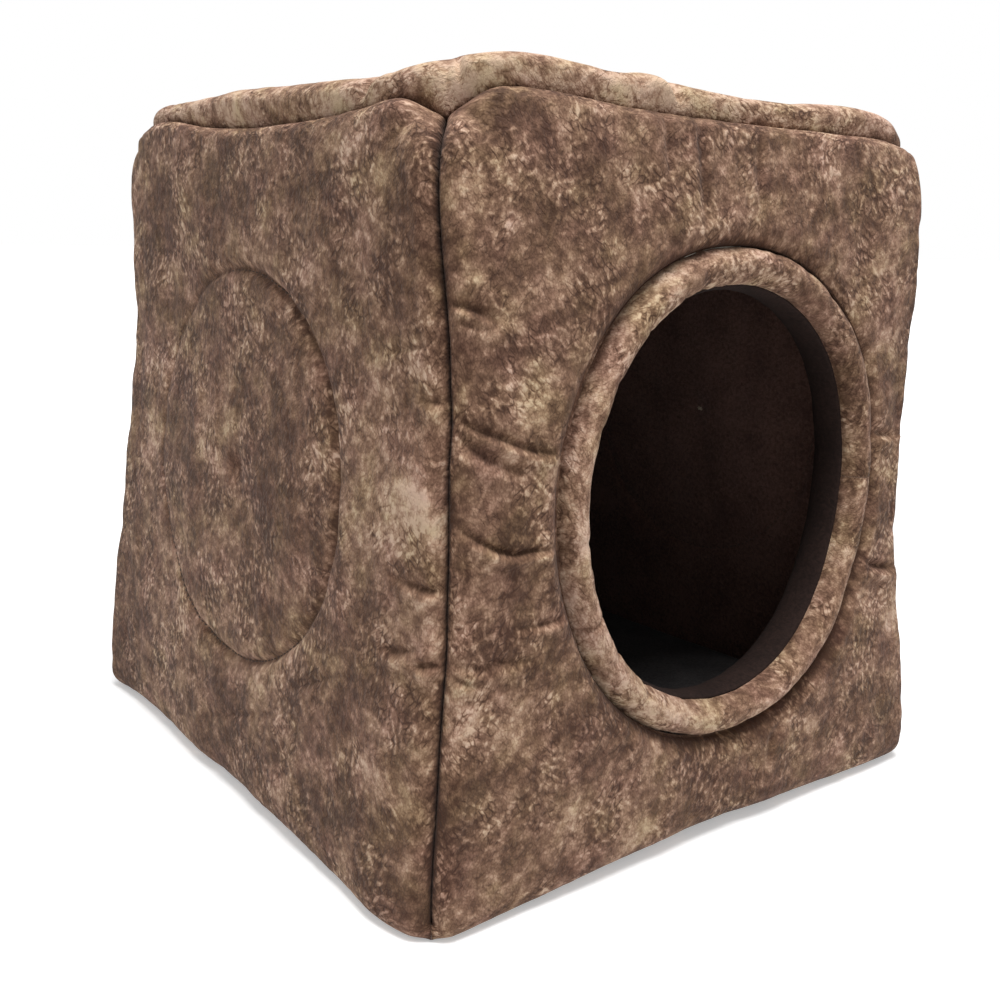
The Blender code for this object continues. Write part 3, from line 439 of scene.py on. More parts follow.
def section(run, depth, roll=FLOOR_ROLL):
    """Setback and height at a run up the wall's section: flat on the floor, a quarter circle,
    then straight up, moved inwards by the depth. The run is counted for the usual roll, and a
    smaller one stretches the flats on both sides of it."""
    angle = np.clip(run / FLOOR_ROLL, 0, np.pi / 2)
    setback = np.where(run < 0, roll - run * (roll - WALL) / FLANGE, roll * (1 - np.sin(angle)))
    above = roll + (run - FLOOR_ARC) * (HEIGHT - roll) / (HEIGHT - FLOOR_ROLL)
    height = np.where(run < FLOOR_ARC, roll * (1 - np.cos(angle)), above)
    return setback + depth * np.sin(angle), height + depth * np.cos(angle)


def floor_roll(side, across):
    """Radius of the floor edge: full along the wall, changing to each corner's own with the
    cube of the distance from the middle."""
    axis, turn, outward = SIDES[side]
    low, high = (CORNER_ROLLS[(end, outward) if axis == 0 else (outward, end)] for end in (-turn, turn))
    corner = np.where(across < 0, low, high)
    return FLOOR_ROLL + (corner - FLOOR_ROLL) * np.abs(across) ** 3


def height_run(height):
    """The run that reaches a height on the upright part of the section."""
    return height - FLOOR_ROLL + FLOOR_ARC


def panel_run(level):
    """The run at a place from -1, the panel's edge under the floor, to 1, its roof seam."""
    return FLANGE + (RUN_TOP - FLANGE) * (1 + level) / 2


def on_wall(side, lateral, setback, height):
    """Points at a place along a wall, a setback behind its face and a height."""
    axis, turn, outward = SIDES[side]
    height = height - (setback + SEAM_GAP) * np.clip(height / HEIGHT, 0, 1) ** 8
    face = outward * (half_span(1 - axis, height) - setback)
    columns = (turn * lateral, face) if axis == 0 else (face, turn * lateral)
    return drawn(np.stack([*columns, height], axis=-1))


def panel_points(side, across, run, depth, roll=None):
    """Points of a wall at a fraction across it and a run up it. The sides lean inwards with the
    depth, as the fifth power of the fraction, so that neighbours meet on their seam plane."""
    axis = SIDES[side][0]
    setback, height = section(run, depth, floor_roll(side, across) if roll is None else roll)
    lateral = across * (half_span(axis, height) - SEAM_GAP) - setback * across**5
    return on_wall(side, lateral, setback, height)


def wall_spot(side, place, height, depth):
    """Points at a world place along a wall and a height, at a depth below its flat face."""
    setback, level = section(height_run(height), depth)
    return on_wall(side, SIDES[side][1] * place, setback, level)


def wall_crown(across, run):
    """Crown of a wall's padding: a root of a sine up it and a flat-topped curve across it."""
    rise = np.clip((run - FLOOR_ARC) / (RUN_TOP - FLOOR_ARC), 0, 1)
    return WALL_CROWN * (1 - across**4) * np.sin(np.pi * rise) ** 0.6


def edge_distances(side, across, run):
    """Distances from the nearer side seam and from the roof seam."""
    height = np.clip(run - FLOOR_ARC + FLOOR_ROLL, 0, HEIGHT)
    return (1 - np.abs(across)) * half_span(SIDES[side][0], height), RUN_TOP - run


def edge_depth(side, across, run, shape):
    """Depth of a wall's edges, rolled or chamfered. The sides' part grows over the floor arc."""
    from_side, from_top = edge_distances(side, across, run)
    return both_edges(shape(from_side) * np.clip(run / FLOOR_ARC, 0, 1), shape(from_top))


def fold(place, height, line, width, depth, ridge, strength=1.0):
    """A fold along a line: a valley with a bell profile and, on its lower side, a softer ridge.
    Both fade towards the line's ends as the root of a half sine."""
    line = np.array(line)
    steps = np.linspace(0, 1, 4 * len(line))
    knots = np.linspace(0, 1, len(line))
    path = np.stack([np.interp(steps, knots, line[:, k]) for k in range(2)], axis=1)
    path[1:-1] = (path[:-2] + 2 * path[1:-1] + path[2:]) / 4
    nearest = np.full(place.shape, 1.0)
    signed = np.zeros(place.shape)
    along = np.zeros(place.shape)
    for index, (start, end) in enumerate(zip(path, path[1:])):
        step = end - start
        length = np.hypot(*step)
        du, dv = place - start[0], height - start[1]
        share = np.clip((du * step[0] + dv * step[1]) / length**2, 0, 1)
        far = np.hypot(du - share * step[0], dv - share * step[1])
        below = np.sign(dv * step[0] - du * step[1]) * -np.sign(step[0] + 1e-9)
        closer = far < nearest
        nearest = np.where(closer, far, nearest)
        signed = np.where(closer, far * below, signed)
        along = np.where(closer, (index + share) / (len(path) - 1), along)
    fade = np.sin(np.pi * np.clip(along, 0.02, 0.98)) ** 0.5
    valley = bell(signed, width)
    beside = bell(signed - 2.2 * width, 1.6 * width)
    return strength * depth * fade * (ridge * beside - valley)


def gathers(distance, along, pitch, depth, reach, seed):
    """Small folds that run away from a seam: the squared positive part of soft noise along it,
    fading with the distance from it."""
    coarse = soft_noise(along, distance * 0.25, pitch, seed)
    fine = soft_noise(along, distance * 0.3, pitch * 0.45, seed + 9)
    return -depth * np.clip(coarse + 0.4 * fine, 0, 1.4) ** 2 * np.exp(-distance / reach)


def stitched_circle(side, place, height):
    """The groove of a sewn circle: a narrow bell where the thread pulls, in a wide soft one,
    shallower on the far part of the left wall's, and a dimple where the tack ties the wall."""
    at, centre, radius = CIRCLES[side]
    du, dv = place - at, height - centre
    far = np.hypot(du, dv)
    arc = np.arctan2(dv, du) * radius
    pull = 1.0 + 0.25 * soft_noise(arc, far * 0, 0.020, 31)
    if side == "left":
        pull = pull * (0.35 + 0.65 * smooth_step(0.85 - du / radius))
    off = np.abs(far - radius)
    groove = pull * (bell(off, *THREAD_GROOVE) + bell(off, *SOFT_GROOVE))
    puckers = gathers(off, arc, *CIRCLE_GATHERS, 33)
    swell = bell(far - CIRCLE_SWELL_AT * radius, CIRCLE_SWELL_WIDE * radius, CIRCLE_SWELL)
    return swell - bell(far, *DIMPLE) - groove + puckers


def entrance_distance(place, height):
    """How far outside the rim's seam a point of the front lies, measured along its radius, how
    far round the oval it is, in metres, and the angle of that."""
    du, dv = place - OVAL_CENTRE[0], height - OVAL_CENTRE[1]
    wide, high = OVAL_HALF[0] + RIM_SEAT, OVAL_HALF[1] + RIM_SEAT
    angle = np.arctan2(dv / high, du / wide)
    size = np.hypot(du / wide, dv / high)
    return (size - 1) * (wide + high) / 2, angle * (wide + high) / 2, angle


def seam_shade(distance, width=0.0024):
    """Painted shade along a seam: darker cloth where its groove would lie in shadow, as a bell across it."""
    return bell(distance, width, -0.42)


def painted_fold_shading(rise):
    """Painted light on the ridges of folds and painted shade in their valleys: paler and darker cloth."""
    return np.clip(60 * rise, -0.20, 0.13)


def relief(side, place, height, from_side, from_top):
    """Everything that stands out of or sinks into a wall's plain padded shape, and the painted light and
    shade that go with it on the cloth: paler ridges, darker valleys and darker seams."""
    seed = 50 + 10 * list(SIDES).index(side)
    rise = sum(fold(place, height, *one, FOLD_STRENGTH) for one in FOLDS[side])
    rise = rise + gathers(from_side, height, *SIDE_GATHERS, seed)
    rise = rise + gathers(from_top, place, *TOP_GATHERS, seed + 3)
    # Painted light on fold ridges, painted shade in fold valleys and along both seams
    shade = painted_fold_shading(rise) + seam_shade(from_side) + seam_shade(from_top)
    rise = rise + uneven(place, height, WALL_SOFT) + uneven(place * 1.3, height * 0.8, WALL_RIPPLES)
    rise = rise + sum(lift * area(place, height, *where) for *where, lift in SWELLS[side])
    if side == "front":
        out, round_way, angle = entrance_distance(place, height)
        loose = 0.60 + 0.40 * np.cos(angle - np.pi)
        puckers = loose * gathers(np.maximum(out, 0), round_way, *ENTRANCE_GATHERS, seed + 5)
        rise = rise + puckers
        # Painted light and shade on the puckers, and painted shade along the rim's seam
        shade = shade + painted_fold_shading(puckers) + seam_shade(out, 0.0030)
    else:
        at, centre, radius = CIRCLES[side]
        rise = rise + stitched_circle(side, place, height)
        # Painted shade along the sewn circle's groove
        shade = shade + 0.5 * seam_shade(np.hypot(place - at, height - centre) - radius, 0.0016)
    return rise * smooth_step((np.minimum(from_side, from_top) - SEAM_FLAT) / SEAM_FADE), shade


def wall_surface(side, across, run):
    """The finished outer surface of a wall, its cloth coordinates, which also follow the cloth down its
    rolled edges, and its tone, painted light and shade included. Round the entrance it dips under the rim as
    an arc."""
    from_side, from_top = edge_distances(side, across, run)
    crown = wall_crown(across, run)
    depth = edge_depth(side, across, run, rolled) - crown
    rough = panel_points(side, across, run, depth)
    place, height = rough[..., SIDES[side][0]], rough[..., 2]
    rise, shade = relief(side, place, height, from_side, from_top)
    depth = depth - rise * smooth_step(run / FLOOR_ARC)
    if side == "front":
        out = entrance_distance(place, height)[0]
        share = np.clip(out / RIM_LIP, 0, 1)
        seated = smooth_step(share)
        lip = RIM_SEAM_DEPTH * (1 - np.sqrt(share * (2 - share)))
        depth = depth * seated + lip + (1 - seated) * -0.4 * crown * (out > 0)
    depth = np.minimum(depth, LEAST_QUILT * QUILT + edge_depth(side, across, run, chamfered))
    over_side = np.sign(across) * rolled(from_side) * np.clip(run / FLOOR_ARC, 0, 1)
    shift = 1.7 * list(SIDES).index(side)
    cloth = [place + SIDES[side][1] * over_side + shift, run + rolled(from_top)]
    points = panel_points(side, across, run, depth)
    return points, np.stack(cloth, axis=-1), shade + tone_of(side, place, height)


def tone_of(side, place, height):
    """The paler and darker areas of a side's cloth, with ragged edges; on the roof and in a few places on the
    walls they are painted light.
    """
    ragged = 1 + 0.5 * layered(place, height, 0.022, 71, 3)
    tones = TONES[side]
    return sum(lift * smooth_step(area(place, height, *where) * ragged * 1.3) for *where, lift in tones)


def roof_points(across, along, depth):
    """Points of the roof at fractions across and along it and a depth below its flat top. Its
    edges lean inwards with the depth, as the walls' sides do."""
    height = HEIGHT - depth
    x = across * (half_span(0, height) - SEAM_GAP) - depth * across**5
    y = along * (half_span(1, height) - SEAM_GAP) - depth * along**5
    return drawn(np.stack([x, y, height], axis=-1))


def roof_surface(across, along):
    """The finished outer surface of the roof: crowned, rolled into its seams, sunk at its
    corners and puffed beside its edges, with a few folds."""
    wide, deep = ROOF_HALF
    from_side, from_end = (1 - np.abs(across)) * wide, (1 - np.abs(along)) * deep
    x, y = across * wide, along * deep
    u, v = (1 + across) / 2, (1 + along) / 2
    rise = uneven(x, y, ROOF_SOFT)
    for name, share, place, half in (
        ("front", v, u, deep),
        ("back", 1 - v, u, deep),
        ("left", u, v, wide),
        ("right", 1 - u, v, wide),
    ):
        rise = rise + through(place, ROOF_PUFFS[name]) * bell(2 * half * share - PUFF_PLACE, PUFF_SPREAD)
    folds = sum(fold(x, y, *one) for one in ROOF_FOLDS)
    folds = folds + gathers(from_side, y, *ROOF_SIDE_GATHERS, 81)
    folds = folds + gathers(from_end, x, *ROOF_END_GATHERS, 84)
    near = np.minimum(from_side, from_end)
    rise = (rise + folds) * smooth_step((near - SEAM_FLAT) / SEAM_FADE)
    crown = ROOF_CROWN * (1 - across**6) * (1 - along**6)
    side_roll, end_roll = rolled(from_side), rolled(from_end)
    points = roof_points(across, along, both_edges(side_roll, end_roll) - crown - rise)
    cloth = [x + np.sign(across) * side_roll + 9.1, y + np.sign(along) * end_roll]
    # Painted light on the roof's fold ridges, painted shade in their valleys and along its seams
    shade = painted_fold_shading(folds) + seam_shade(from_side) + seam_shade(from_end)
    return points, np.stack(cloth, axis=-1), shade + tone_of("roof", x, y)


def stations(count, closeness=0.35):
    """Places from -1 to 1, closer together near both ends by a sine."""
    even = np.linspace(-1, 1, count)
    return even + closeness * np.sin(np.pi * even) / np.pi


class Skin:
    """Gathers the points, faces, cloth coordinates and tones of one piece."""

    def __init__(self):
        self.points, self.cloth, self.tone, self.faces, self.corners = [], [], [], [], []
        self.count = 0

    def add(self, points, cloth=None, tone=None):
        """Adds points in any grid shape and returns their numbers in that shape."""
        points = np.asarray(points, float)
        number = np.arange(self.count, self.count + points[..., 0].size).reshape(points.shape[:-1])
        self.count += points[..., 0].size
        self.points.append(points.reshape(-1, 3))
        cloth = np.zeros((*points.shape[:-1], 2)) if cloth is None else cloth
        self.cloth.append(np.asarray(cloth, float).reshape(-1, 2))
        tone = np.zeros(points.shape[:-1]) if tone is None else tone
        self.tone.append(np.asarray(tone, float).ravel())
        return number

    def quads(self, number):
        """Four-cornered faces between the rows and columns of a grid of point numbers."""
        a, b, c, d = number[:-1, :-1], number[:-1, 1:], number[1:, 1:], number[1:, :-1]
        self.faces.append(np.stack([a, b, c, d], axis=-1).reshape(-1, 4))

    def ring_quads(self, number):
        """The same for loops that close on themselves along the rows."""
        self.quads(np.concatenate([number, number[:, :1]], axis=1))

    def fan(self, loop, centre):
        """Triangles from each step of a loop to one point."""
        tip = np.full(len(loop), centre)
        self.corners.append(np.stack([loop, np.roll(loop, -1), tip], axis=1))

    def finish(self, name, material):
        """Makes the piece's object, turned right side out, with its cloth coordinates as a UV map and its
        tone, painted light and shade included, as an attribute."""
        points = np.concatenate(self.points)
        cloth = np.concatenate(self.cloth)
        quads = np.concatenate(self.faces) if self.faces else np.zeros((0, 4), int)
        tris = np.concatenate(self.corners) if self.corners else np.zeros((0, 3), int)
        halves = np.concatenate([quads[:, [0, 1, 2]], quads[:, [0, 2, 3]], tris])
        a, b, c = (points[halves[:, k]] for k in range(3))
        if np.einsum("ij,ij->i", a, np.cross(b, c)).sum() < 0:
            quads, tris = quads[:, ::-1], tris[:, ::-1]
        corner = np.concatenate([quads.ravel(), tris.ravel()]).astype(np.int32)
        sizes = np.concatenate([np.full(len(quads), 4), np.full(len(tris), 3)])
        starts = np.concatenate([[0], np.cumsum(sizes)[:-1]]).astype(np.int32)
        mesh = bpy.data.meshes.new(name)
        mesh.vertices.add(len(points))
        mesh.vertices.foreach_set("co", points.ravel())
        mesh.loops.add(len(corner))
        mesh.loops.foreach_set("vertex_index", corner)
        mesh.polygons.add(len(sizes))
        mesh.polygons.foreach_set("loop_start", starts)
        mesh.update(calc_edges=True)
        layer = mesh.uv_layers.new(name="cloth")
        layer.data.foreach_set("uv", cloth[corner].ravel())
        tone = mesh.attributes.new("tone", "FLOAT", "POINT")
        tone.data.foreach_set("value", np.concatenate(self.tone))
        mesh.validate()
        mesh.shade_smooth()
        mesh.materials.append(material)
        return place_in_scene(name, mesh)


def place_in_scene(name, data):
    made = bpy.data.objects.new(name, data)
    bpy.context.scene.collection.objects.link(made)
    return made


def border(number):
    """The numbers round the edge of a grid, as one loop."""
    return np.concatenate([number[0, :-1], number[:-1, -1], number[-1, :0:-1], number[:0:-1, 0]])


def back_loops(side, across, run):
    """The hidden inner face of a wall's quilted panel: its edge, its chamfer and its flat."""
    loops = []
    span = half_span(SIDES[side][0], HEIGHT / 2)
    for inset, low in ((0.0, FLANGE), (SEAM_REACH / 2, 0.0), (SEAM_REACH, FLOOR_ARC)):
        a = across * (1 - inset / span)
        r = np.clip(run, low, RUN_TOP - inset)
        depth = QUILT + edge_depth(side, a, r, chamfered)
        loops.append(panel_points(side, a, r, depth, FLOOR_ROLL))
    return loops


def sheet(name, material, columns, rows, surface, behind, middle):
    """A closed sheet: a grid whose points, cloth coordinates and tone come from the surface at
    places from -1 to 1. It is closed behind, over the loops that its border gives there, to a
    point in the middle. That part runs the other way round, so that it faces backwards."""
    skin = Skin()
    across, level = np.meshgrid(stations(columns), stations(rows))
    number = skin.add(*surface(across, level))
    skin.quads(number)
    edge = border(number)
    loops = behind(across.ravel()[edge], level.ravel()[edge])
    rings = np.stack([edge, *(skin.add(loop) for loop in loops)])[:, ::-1]
    skin.ring_quads(rings)
    skin.fan(rings[-1], skin.add(middle)[0])
    return skin.finish(name, material)


def plain_panel(side, material, columns, rows):
    """A plain wall's outer panel: a sheet over its width and its run."""
    middle = panel_points(side, np.zeros(1), np.array([height_run(HEIGHT / 2)]), np.array([QUILT]))
    return sheet(
        f"{side}_suede_panel", material, columns, rows,
        lambda across, level: wall_surface(side, across, panel_run(level)),
        lambda across, level: back_loops(side, across, panel_run(level)),
        middle,
    )


def front_outline(columns):
    """A loop round the front's seams and flange, as places from -1 to 1 across and up, with the
    same number of points on each side, closer together near the corners."""
    part = columns // 4
    sweep = stations(part + 1, 0.2)[:-1]
    one = np.ones(part)
    return np.concatenate([sweep, one, -sweep, -one]), np.concatenate([-one, sweep, one, -sweep])


def oval_loop(columns):
    """The same number of points round the entrance under the rim, as fractions across and
    heights."""
    angle = -0.75 * np.pi + np.arange(columns) * 2 * np.pi / columns
    place = OVAL_CENTRE[0] + (OVAL_HALF[0] + RIM_SEAT) * np.cos(angle)
    level = OVAL_CENTRE[1] + (OVAL_HALF[1] + RIM_SEAT) * np.sin(angle)
    return place / (half_span(0, level) - SEAM_GAP), level


def between_loops(near, far, rows, closeness):
    """Values that pass in straight lines from those of one loop to those of another."""
    part = (1 + stations(rows, closeness)[:, None]) / 2
    return near * (1 - part) + far * part


def front_panel(material, columns=920, rows=102):
    """The front's panel: loops from the rim's oval seam to the rectangle of the outer seams,
    then back over the hidden inner face to the oval."""
    skin = Skin()
    far_across, far_level = front_outline(columns)
    far_run = panel_run(far_level)
    near_across, near_level = oval_loop(columns)
    near_run = height_run(near_level)
    across = between_loops(near_across, far_across, rows, 0.55)
    run = between_loops(near_run, far_run, rows, 0.55)
    number = skin.add(*wall_surface("front", across, run))
    behind = back_loops("front", far_across, far_run)
    behind.append(panel_points("front", near_across, near_run, np.full(columns, QUILT)))
    skin.ring_quads(np.stack([*number, *(skin.add(loop) for loop in behind), number[0]]))
    return skin.finish("front_suede_panel", material)


def roof_back(across, along):
    """The hidden inner face of the roof's panel, like a wall's."""
    loops = []
    for inset in (0.0, SEAM_REACH / 2, SEAM_REACH):
        a, b = across * (1 - inset / ROOF_HALF[0]), along * (1 - inset / ROOF_HALF[1])
        first, second = chamfered((1 - np.abs(a)) * ROOF_HALF[0]), chamfered((1 - np.abs(b)) * ROOF_HALF[1])
        loops.append(roof_points(a, b, QUILT + both_edges(first, second)))
    return loops


def roof_panel(material, columns=270, rows=280):
    """The roof's panel: a sheet over its width and depth."""
    zero = np.zeros(1)
    middle = roof_points(zero, zero, zero + QUILT)
    return sheet("roof_suede_panel", material, columns, rows, roof_surface, roof_back, middle)


def rim_section(angle, spin, grow):
    """The rim's oval section at an angle round the entrance: as wide as the rim, thinner on its
    left, from the seam with the front to the clear opening, and as deep as the wall."""
    half = RIM_WIDTH / 2 - RIM_THIN / 2 * np.clip(-np.cos(angle), 0, 1) ** 2
    middle = WALL / 2
    margin = RIM_WIDTH - half + (half + grow) * np.cos(spin)
    depth = middle - (middle + RIM_PROUD + grow) * np.sin(spin)
    place = OVAL_CENTRE[0] + (OVAL_HALF[0] + margin) * np.cos(angle)
    level = OVAL_CENTRE[1] + (OVAL_HALF[1] + margin) * np.sin(angle)
    return wall_spot("front", place, level, depth)


def rim_relief(angle, spin):
    """Small folds across the rim, gathered by its seams and looser on its left, soft lumps, the
    seam where the strip's two ends meet, and the groove where the plush facing is sewn on, with
    the cloth's tone: painted light on the rim's left, painted shade on its right, painted light and
    shade on the folds and painted shade along the joint and the seam. Under the facing it is
    smooth and a little thinner."""
    arc = angle * RIM_RADIUS
    from_seam = np.minimum(spin, 2 * np.pi - spin)
    from_joint = arc - RIM_JOINT_ANGLE * RIM_RADIUS
    wrap = smooth_step(arc / 0.015) * smooth_step((2 * np.pi * RIM_RADIUS - arc) / 0.015)
    loose = 0.30 + 0.70 * smooth_step(0.55 + np.cos(angle - np.radians(176)))
    pinch = bell(from_seam, 1.25) + bell(spin - FACING_START, 0.8, 0.7)
    fine = soft_noise(arc, spin * 0.002, 0.0085, 91) + 0.5 * soft_noise(arc, spin * 0.004, 0.0045, 95)
    folds = -RIM_FOLD * loose * np.clip(fine + 0.1, 0, 1.4) ** 1.5 * np.clip(0.2 + pinch, 0, 1)
    lumps = uneven(arc, spin * 0.012, RIM_LUMPS)
    joint = bell(from_joint, *RIM_JOINT) * smooth_step((FACING_START - 0.10 - spin) / 0.45)
    sewn = bell(spin - FACING_START, *FACING_SEAM)
    covered = smooth_step((spin - FACING_START) / 0.06) * smooth_step((FACING_END - spin) / 0.06)
    seated = 1 - bell(from_seam, 0.5, 0.85)
    # Painted light on the rim's left, painted shade on its right, painted light and shade on its folds, and
    # painted shade at its joint and along its seam
    shade = RIM_TONE - RIM_PAINTED_SIDE_LIGHT * np.cos(angle) + painted_fold_shading(folds * wrap)
    shade = shade + 0.6 * seam_shade(from_joint, RIM_JOINT[0])
    shade = shade + seam_shade(from_seam * 0.018 - 0.002, 0.003)
    rise = np.maximum(((folds + lumps) * wrap + joint) * seated + sewn, -RIM_SINK)
    return rise * (1 - covered) - FACING_SEAT * covered, shade


def entrance_rim(material, columns=900, steps=72):
    """The stuffed rim: its section carried round the entrance."""
    skin = Skin()
    turn = np.arange(columns) * 2 * np.pi / columns
    around = np.arange(steps) * 2 * np.pi / steps
    angle, spin = np.meshgrid(turn, around)
    rise, tone = rim_relief(angle, spin)
    cloth = np.stack([angle * RIM_RADIUS + 11.3, spin * RIM_THICK], axis=-1)
    number = skin.add(rim_section(angle, spin, rise), cloth, tone)
    skin.ring_quads(np.concatenate([number, number[:1]], axis=0))
    return skin.finish("entrance_suede_rim", material)


def rim_facing(material, columns=640, steps=30):
    """The plush that faces the room side of the rim: a band that lies on the rim from the seam
    on its inner side, with both edges tucked under its surface, and a flat back inside it."""
    skin = Skin()
    turn = np.arange(columns) * 2 * np.pi / columns
    angle, part = np.meshgrid(turn, np.linspace(0, 1, steps))
    spin = FACING_START + (FACING_END - FACING_START) * part
    from_middle = np.abs(2 * part - 1)
    proud = 2 * FACING_HALF * (1 - from_middle**8) - FACING_HALF
    soft = 0.0003 * soft_noise(angle * RIM_RADIUS, spin * RIM_THICK, 0.007, 99) * (1 - from_middle**4)
    cloth = np.stack([angle * RIM_RADIUS + 13.0, spin * RIM_THICK], axis=-1)
    loops = [*skin.add(rim_section(angle, spin, proud + soft), cloth)]
    for place in (1.0, 0.8, 0.6, 0.4, 0.2, 0.0):
        back = FACING_START + (FACING_END - FACING_START) * place + 0 * turn
        loops.append(skin.add(rim_section(turn, back, 0 * turn - FACING_BACK)))
    skin.ring_quads(np.stack([*loops, loops[0]]))
    return skin.finish("entrance_plush_facing", material)


# One stitch of a sewn circle: its pitch, half its length, its radius, and how high it arches
# over the cloth and dips into it at its ends
STITCH_PITCH, STITCH_HALF, STITCH_THICK = 0.0042, 0.0017, 0.00042
STITCH_ARCH, STITCH_DIP = 0.0005, 0.0007


def stitch_ring(side, material):
    """Every stitch of a sewn circle: a short arched thread whose ends dip into the cloth, both
    on the outside and, through the wall, on the lining."""
    at, centre, radius = CIRCLES[side]
    count = int(2 * np.pi * radius / STITCH_PITCH)
    skin = Skin()
    sections, sides = 7, 6
    share = np.linspace(-1, 1, sections)[None, :, None]
    spin = (np.arange(sides) * 2 * np.pi / sides)[None, None, :]
    thick = STITCH_THICK * np.sqrt(1.02 - share**2)
    out = STITCH_ARCH - STITCH_DIP * share**2 + thick * np.sin(spin)
    for outside in (True, False):
        middle = (np.arange(count) + (0.0 if outside else 0.5)) * 2 * np.pi / count
        angle = middle[:, None, None] + share * STITCH_HALF / radius
        far = radius + thick * np.cos(spin) + 0 * angle
        place, level = at + far * np.cos(angle), centre + far * np.sin(angle)
        if outside:
            depth = circle_floor(side, angle) - out
        else:
            depth = lining_depth(side, place, level, CLEAR, CLEAR) - 0.0002 + out
        points = wall_spot(side, place, level, depth + 0 * place)
        number = skin.add(points)
        tips = np.concatenate([number, number[:, :, :1]], axis=2)
        a, b, c, d = tips[:, :-1, :-1], tips[:, :-1, 1:], tips[:, 1:, 1:], tips[:, 1:, :-1]
        skin.faces.append(np.stack([a, b, c, d], axis=-1).reshape(-1, 4))
        for end, order in ((0, 1), (-1, -1)):
            tip = skin.add(points[:, end].mean(axis=1))
            loop = number[:, end][:, ::order]
            fans = [np.roll(loop, -1, axis=1), loop, np.repeat(tip[:, None], sides, 1)]
            skin.corners.append(np.stack(fans, axis=-1).reshape(-1, 3))
    return skin.finish(f"{side}_circle_stitches", material)


def circle_floor(side, angle):
    """Depth of the bottom of a sewn circle's groove, as the panel's own surface has it."""
    at, centre, radius = CIRCLES[side]
    place, level = at + radius * np.cos(angle), centre + radius * np.sin(angle)
    run = height_run(level)
    across = SIDES[side][1] * place / half_span(SIDES[side][0], level)
    from_side, from_top = edge_distances(side, across, run)
    return -wall_crown(across, run) - relief(side, place, level, from_side, from_top)[0]


# The three strands of a tack: tilt, half length and radius
STRANDS = ((0.10, 0.0033, 0.00062), (0.75, 0.0024, 0.00050), (-0.62, 0.0024, 0.00050))
STRAND_ARCH = 0.0006


def thread_tack(side, outside, material):
    """A tack: three crossed strands with rounded ends over a knot."""
    at, centre = CIRCLES[side][:2]
    skin = Skin()
    share = np.linspace(-1, 1, 13)[:, None]
    spin = np.arange(8) * np.pi / 4
    if outside:
        across = SIDES[side][1] * at / half_span(SIDES[side][0], centre)
        floor = DIMPLE[1] - wall_crown(np.array(across), np.array(height_run(centre)))
    else:
        floor = lining_depth(side, np.array(at), np.array(centre), CLEAR, CLEAR)
    for tilt, half, thick in STRANDS:
        bulge = thick * np.sqrt(1.001 - share**2)
        place = at + half * share * np.cos(tilt) - bulge * np.cos(spin) * np.sin(tilt)
        level = centre + half * share * np.sin(tilt) + bulge * np.cos(spin) * np.cos(tilt)
        out = STRAND_ARCH * (1 - share**2) + bulge * np.sin(spin)
        depth = floor - out if outside else floor + out
        number = skin.add(wall_spot(side, place, level, depth))
        skin.ring_quads(number)
        for end, order in ((0, -1), (-1, 1)):
            middle = (values[end].mean()[None] for values in (place, level, depth))
            skin.fan(number[end][::order], skin.add(wall_spot(side, *middle))[0])
    where = "outer" if outside else "lining"
    return skin.finish(f"{side}_{where}_thread_tack", material)


def lining_depth(side, place, height, from_side, from_top):
    """Depth of the lining's face: flat, drawn back into the seams between the walls and a
    little along the sewn circle, with the soft unevenness of plush over foam."""
    near = np.minimum(from_side, from_top)
    depth = WALL + LINING_PROUD - LINING_SEAM * np.exp(-near / LINING_SEAM_FADE)
    depth = depth + uneven(place, height, LINING_SOFT) * smooth_step(near / LINING_SOFT_FADE)
    for *where, lift in LINING_SWELLS.get(side, ()):
        depth = depth + lift * area(place, height, *where)
    if side in CIRCLES:
        at, centre, radius = CIRCLES[side]
        far = np.hypot(place - at, height - centre)
        depth = depth - bell(far - radius, *LINING_GROOVE) - bell(far, *LINING_DIMPLE)
    return depth


def lining_points(side, across, level, depth):
    """Points of a wall's lining at a fraction across it, a height and a depth."""
    lateral = across * (half_span(SIDES[side][0], level) - SEAM_GAP) - depth * across**5
    return on_wall(side, lateral, depth, level)


def lining_height(level):
    """The height at a place from -1, the lining's foot on the base, to 1, the roof."""
    low = QUILT + GAP
    return low + (HEIGHT - low) * (1 + level) / 2


def lining_surface(side, across, level):
    """The lining's face on the side of the room, and its cloth coordinates."""
    start = lining_points(side, across, level, np.full(across.shape, WALL))
    place, height = start[..., SIDES[side][0]], start[..., 2]
    from_side = (1 - np.abs(across)) * half_span(SIDES[side][0], level)
    depth = lining_depth(side, place, height, from_side, HEIGHT - level)
    return lining_points(side, across, level, depth), np.stack([place + 13.0, height], axis=-1)


def plain_lining(side, material, fineness=190):
    """A plain wall's lining: a sheet on the side of the room."""
    back = np.array([WALL - LINING])
    middle = lining_points(side, np.zeros(1), np.array([HEIGHT / 2]), back)
    return sheet(
        f"{side}_plush_lining", material, fineness, fineness,
        lambda across, level: lining_surface(side, across, lining_height(level)),
        lambda across, level: [lining_points(side, across, lining_height(level), back + 0 * level)],
        middle,
    )


def front_lining(material, columns=560, rows=56):
    """The front's lining: loops from the rim to the corners, then back behind."""
    skin = Skin()
    far_across, far_level = front_outline(columns)
    far_level = lining_height(far_level)
    near_across, near_level = oval_loop(columns)
    across = between_loops(near_across, far_across, rows, 0.4)
    level = between_loops(near_level, far_level, rows, 0.4)
    number = skin.add(*lining_surface("front", across, level))
    behind = np.full(columns, WALL - LINING)
    outer = skin.add(lining_points("front", far_across, far_level, behind))
    inner = skin.add(lining_points("front", near_across, near_level, behind))
    skin.ring_quads(np.stack([*number, outer, inner, number[0]]))
    return skin.finish("front_plush_lining", material)


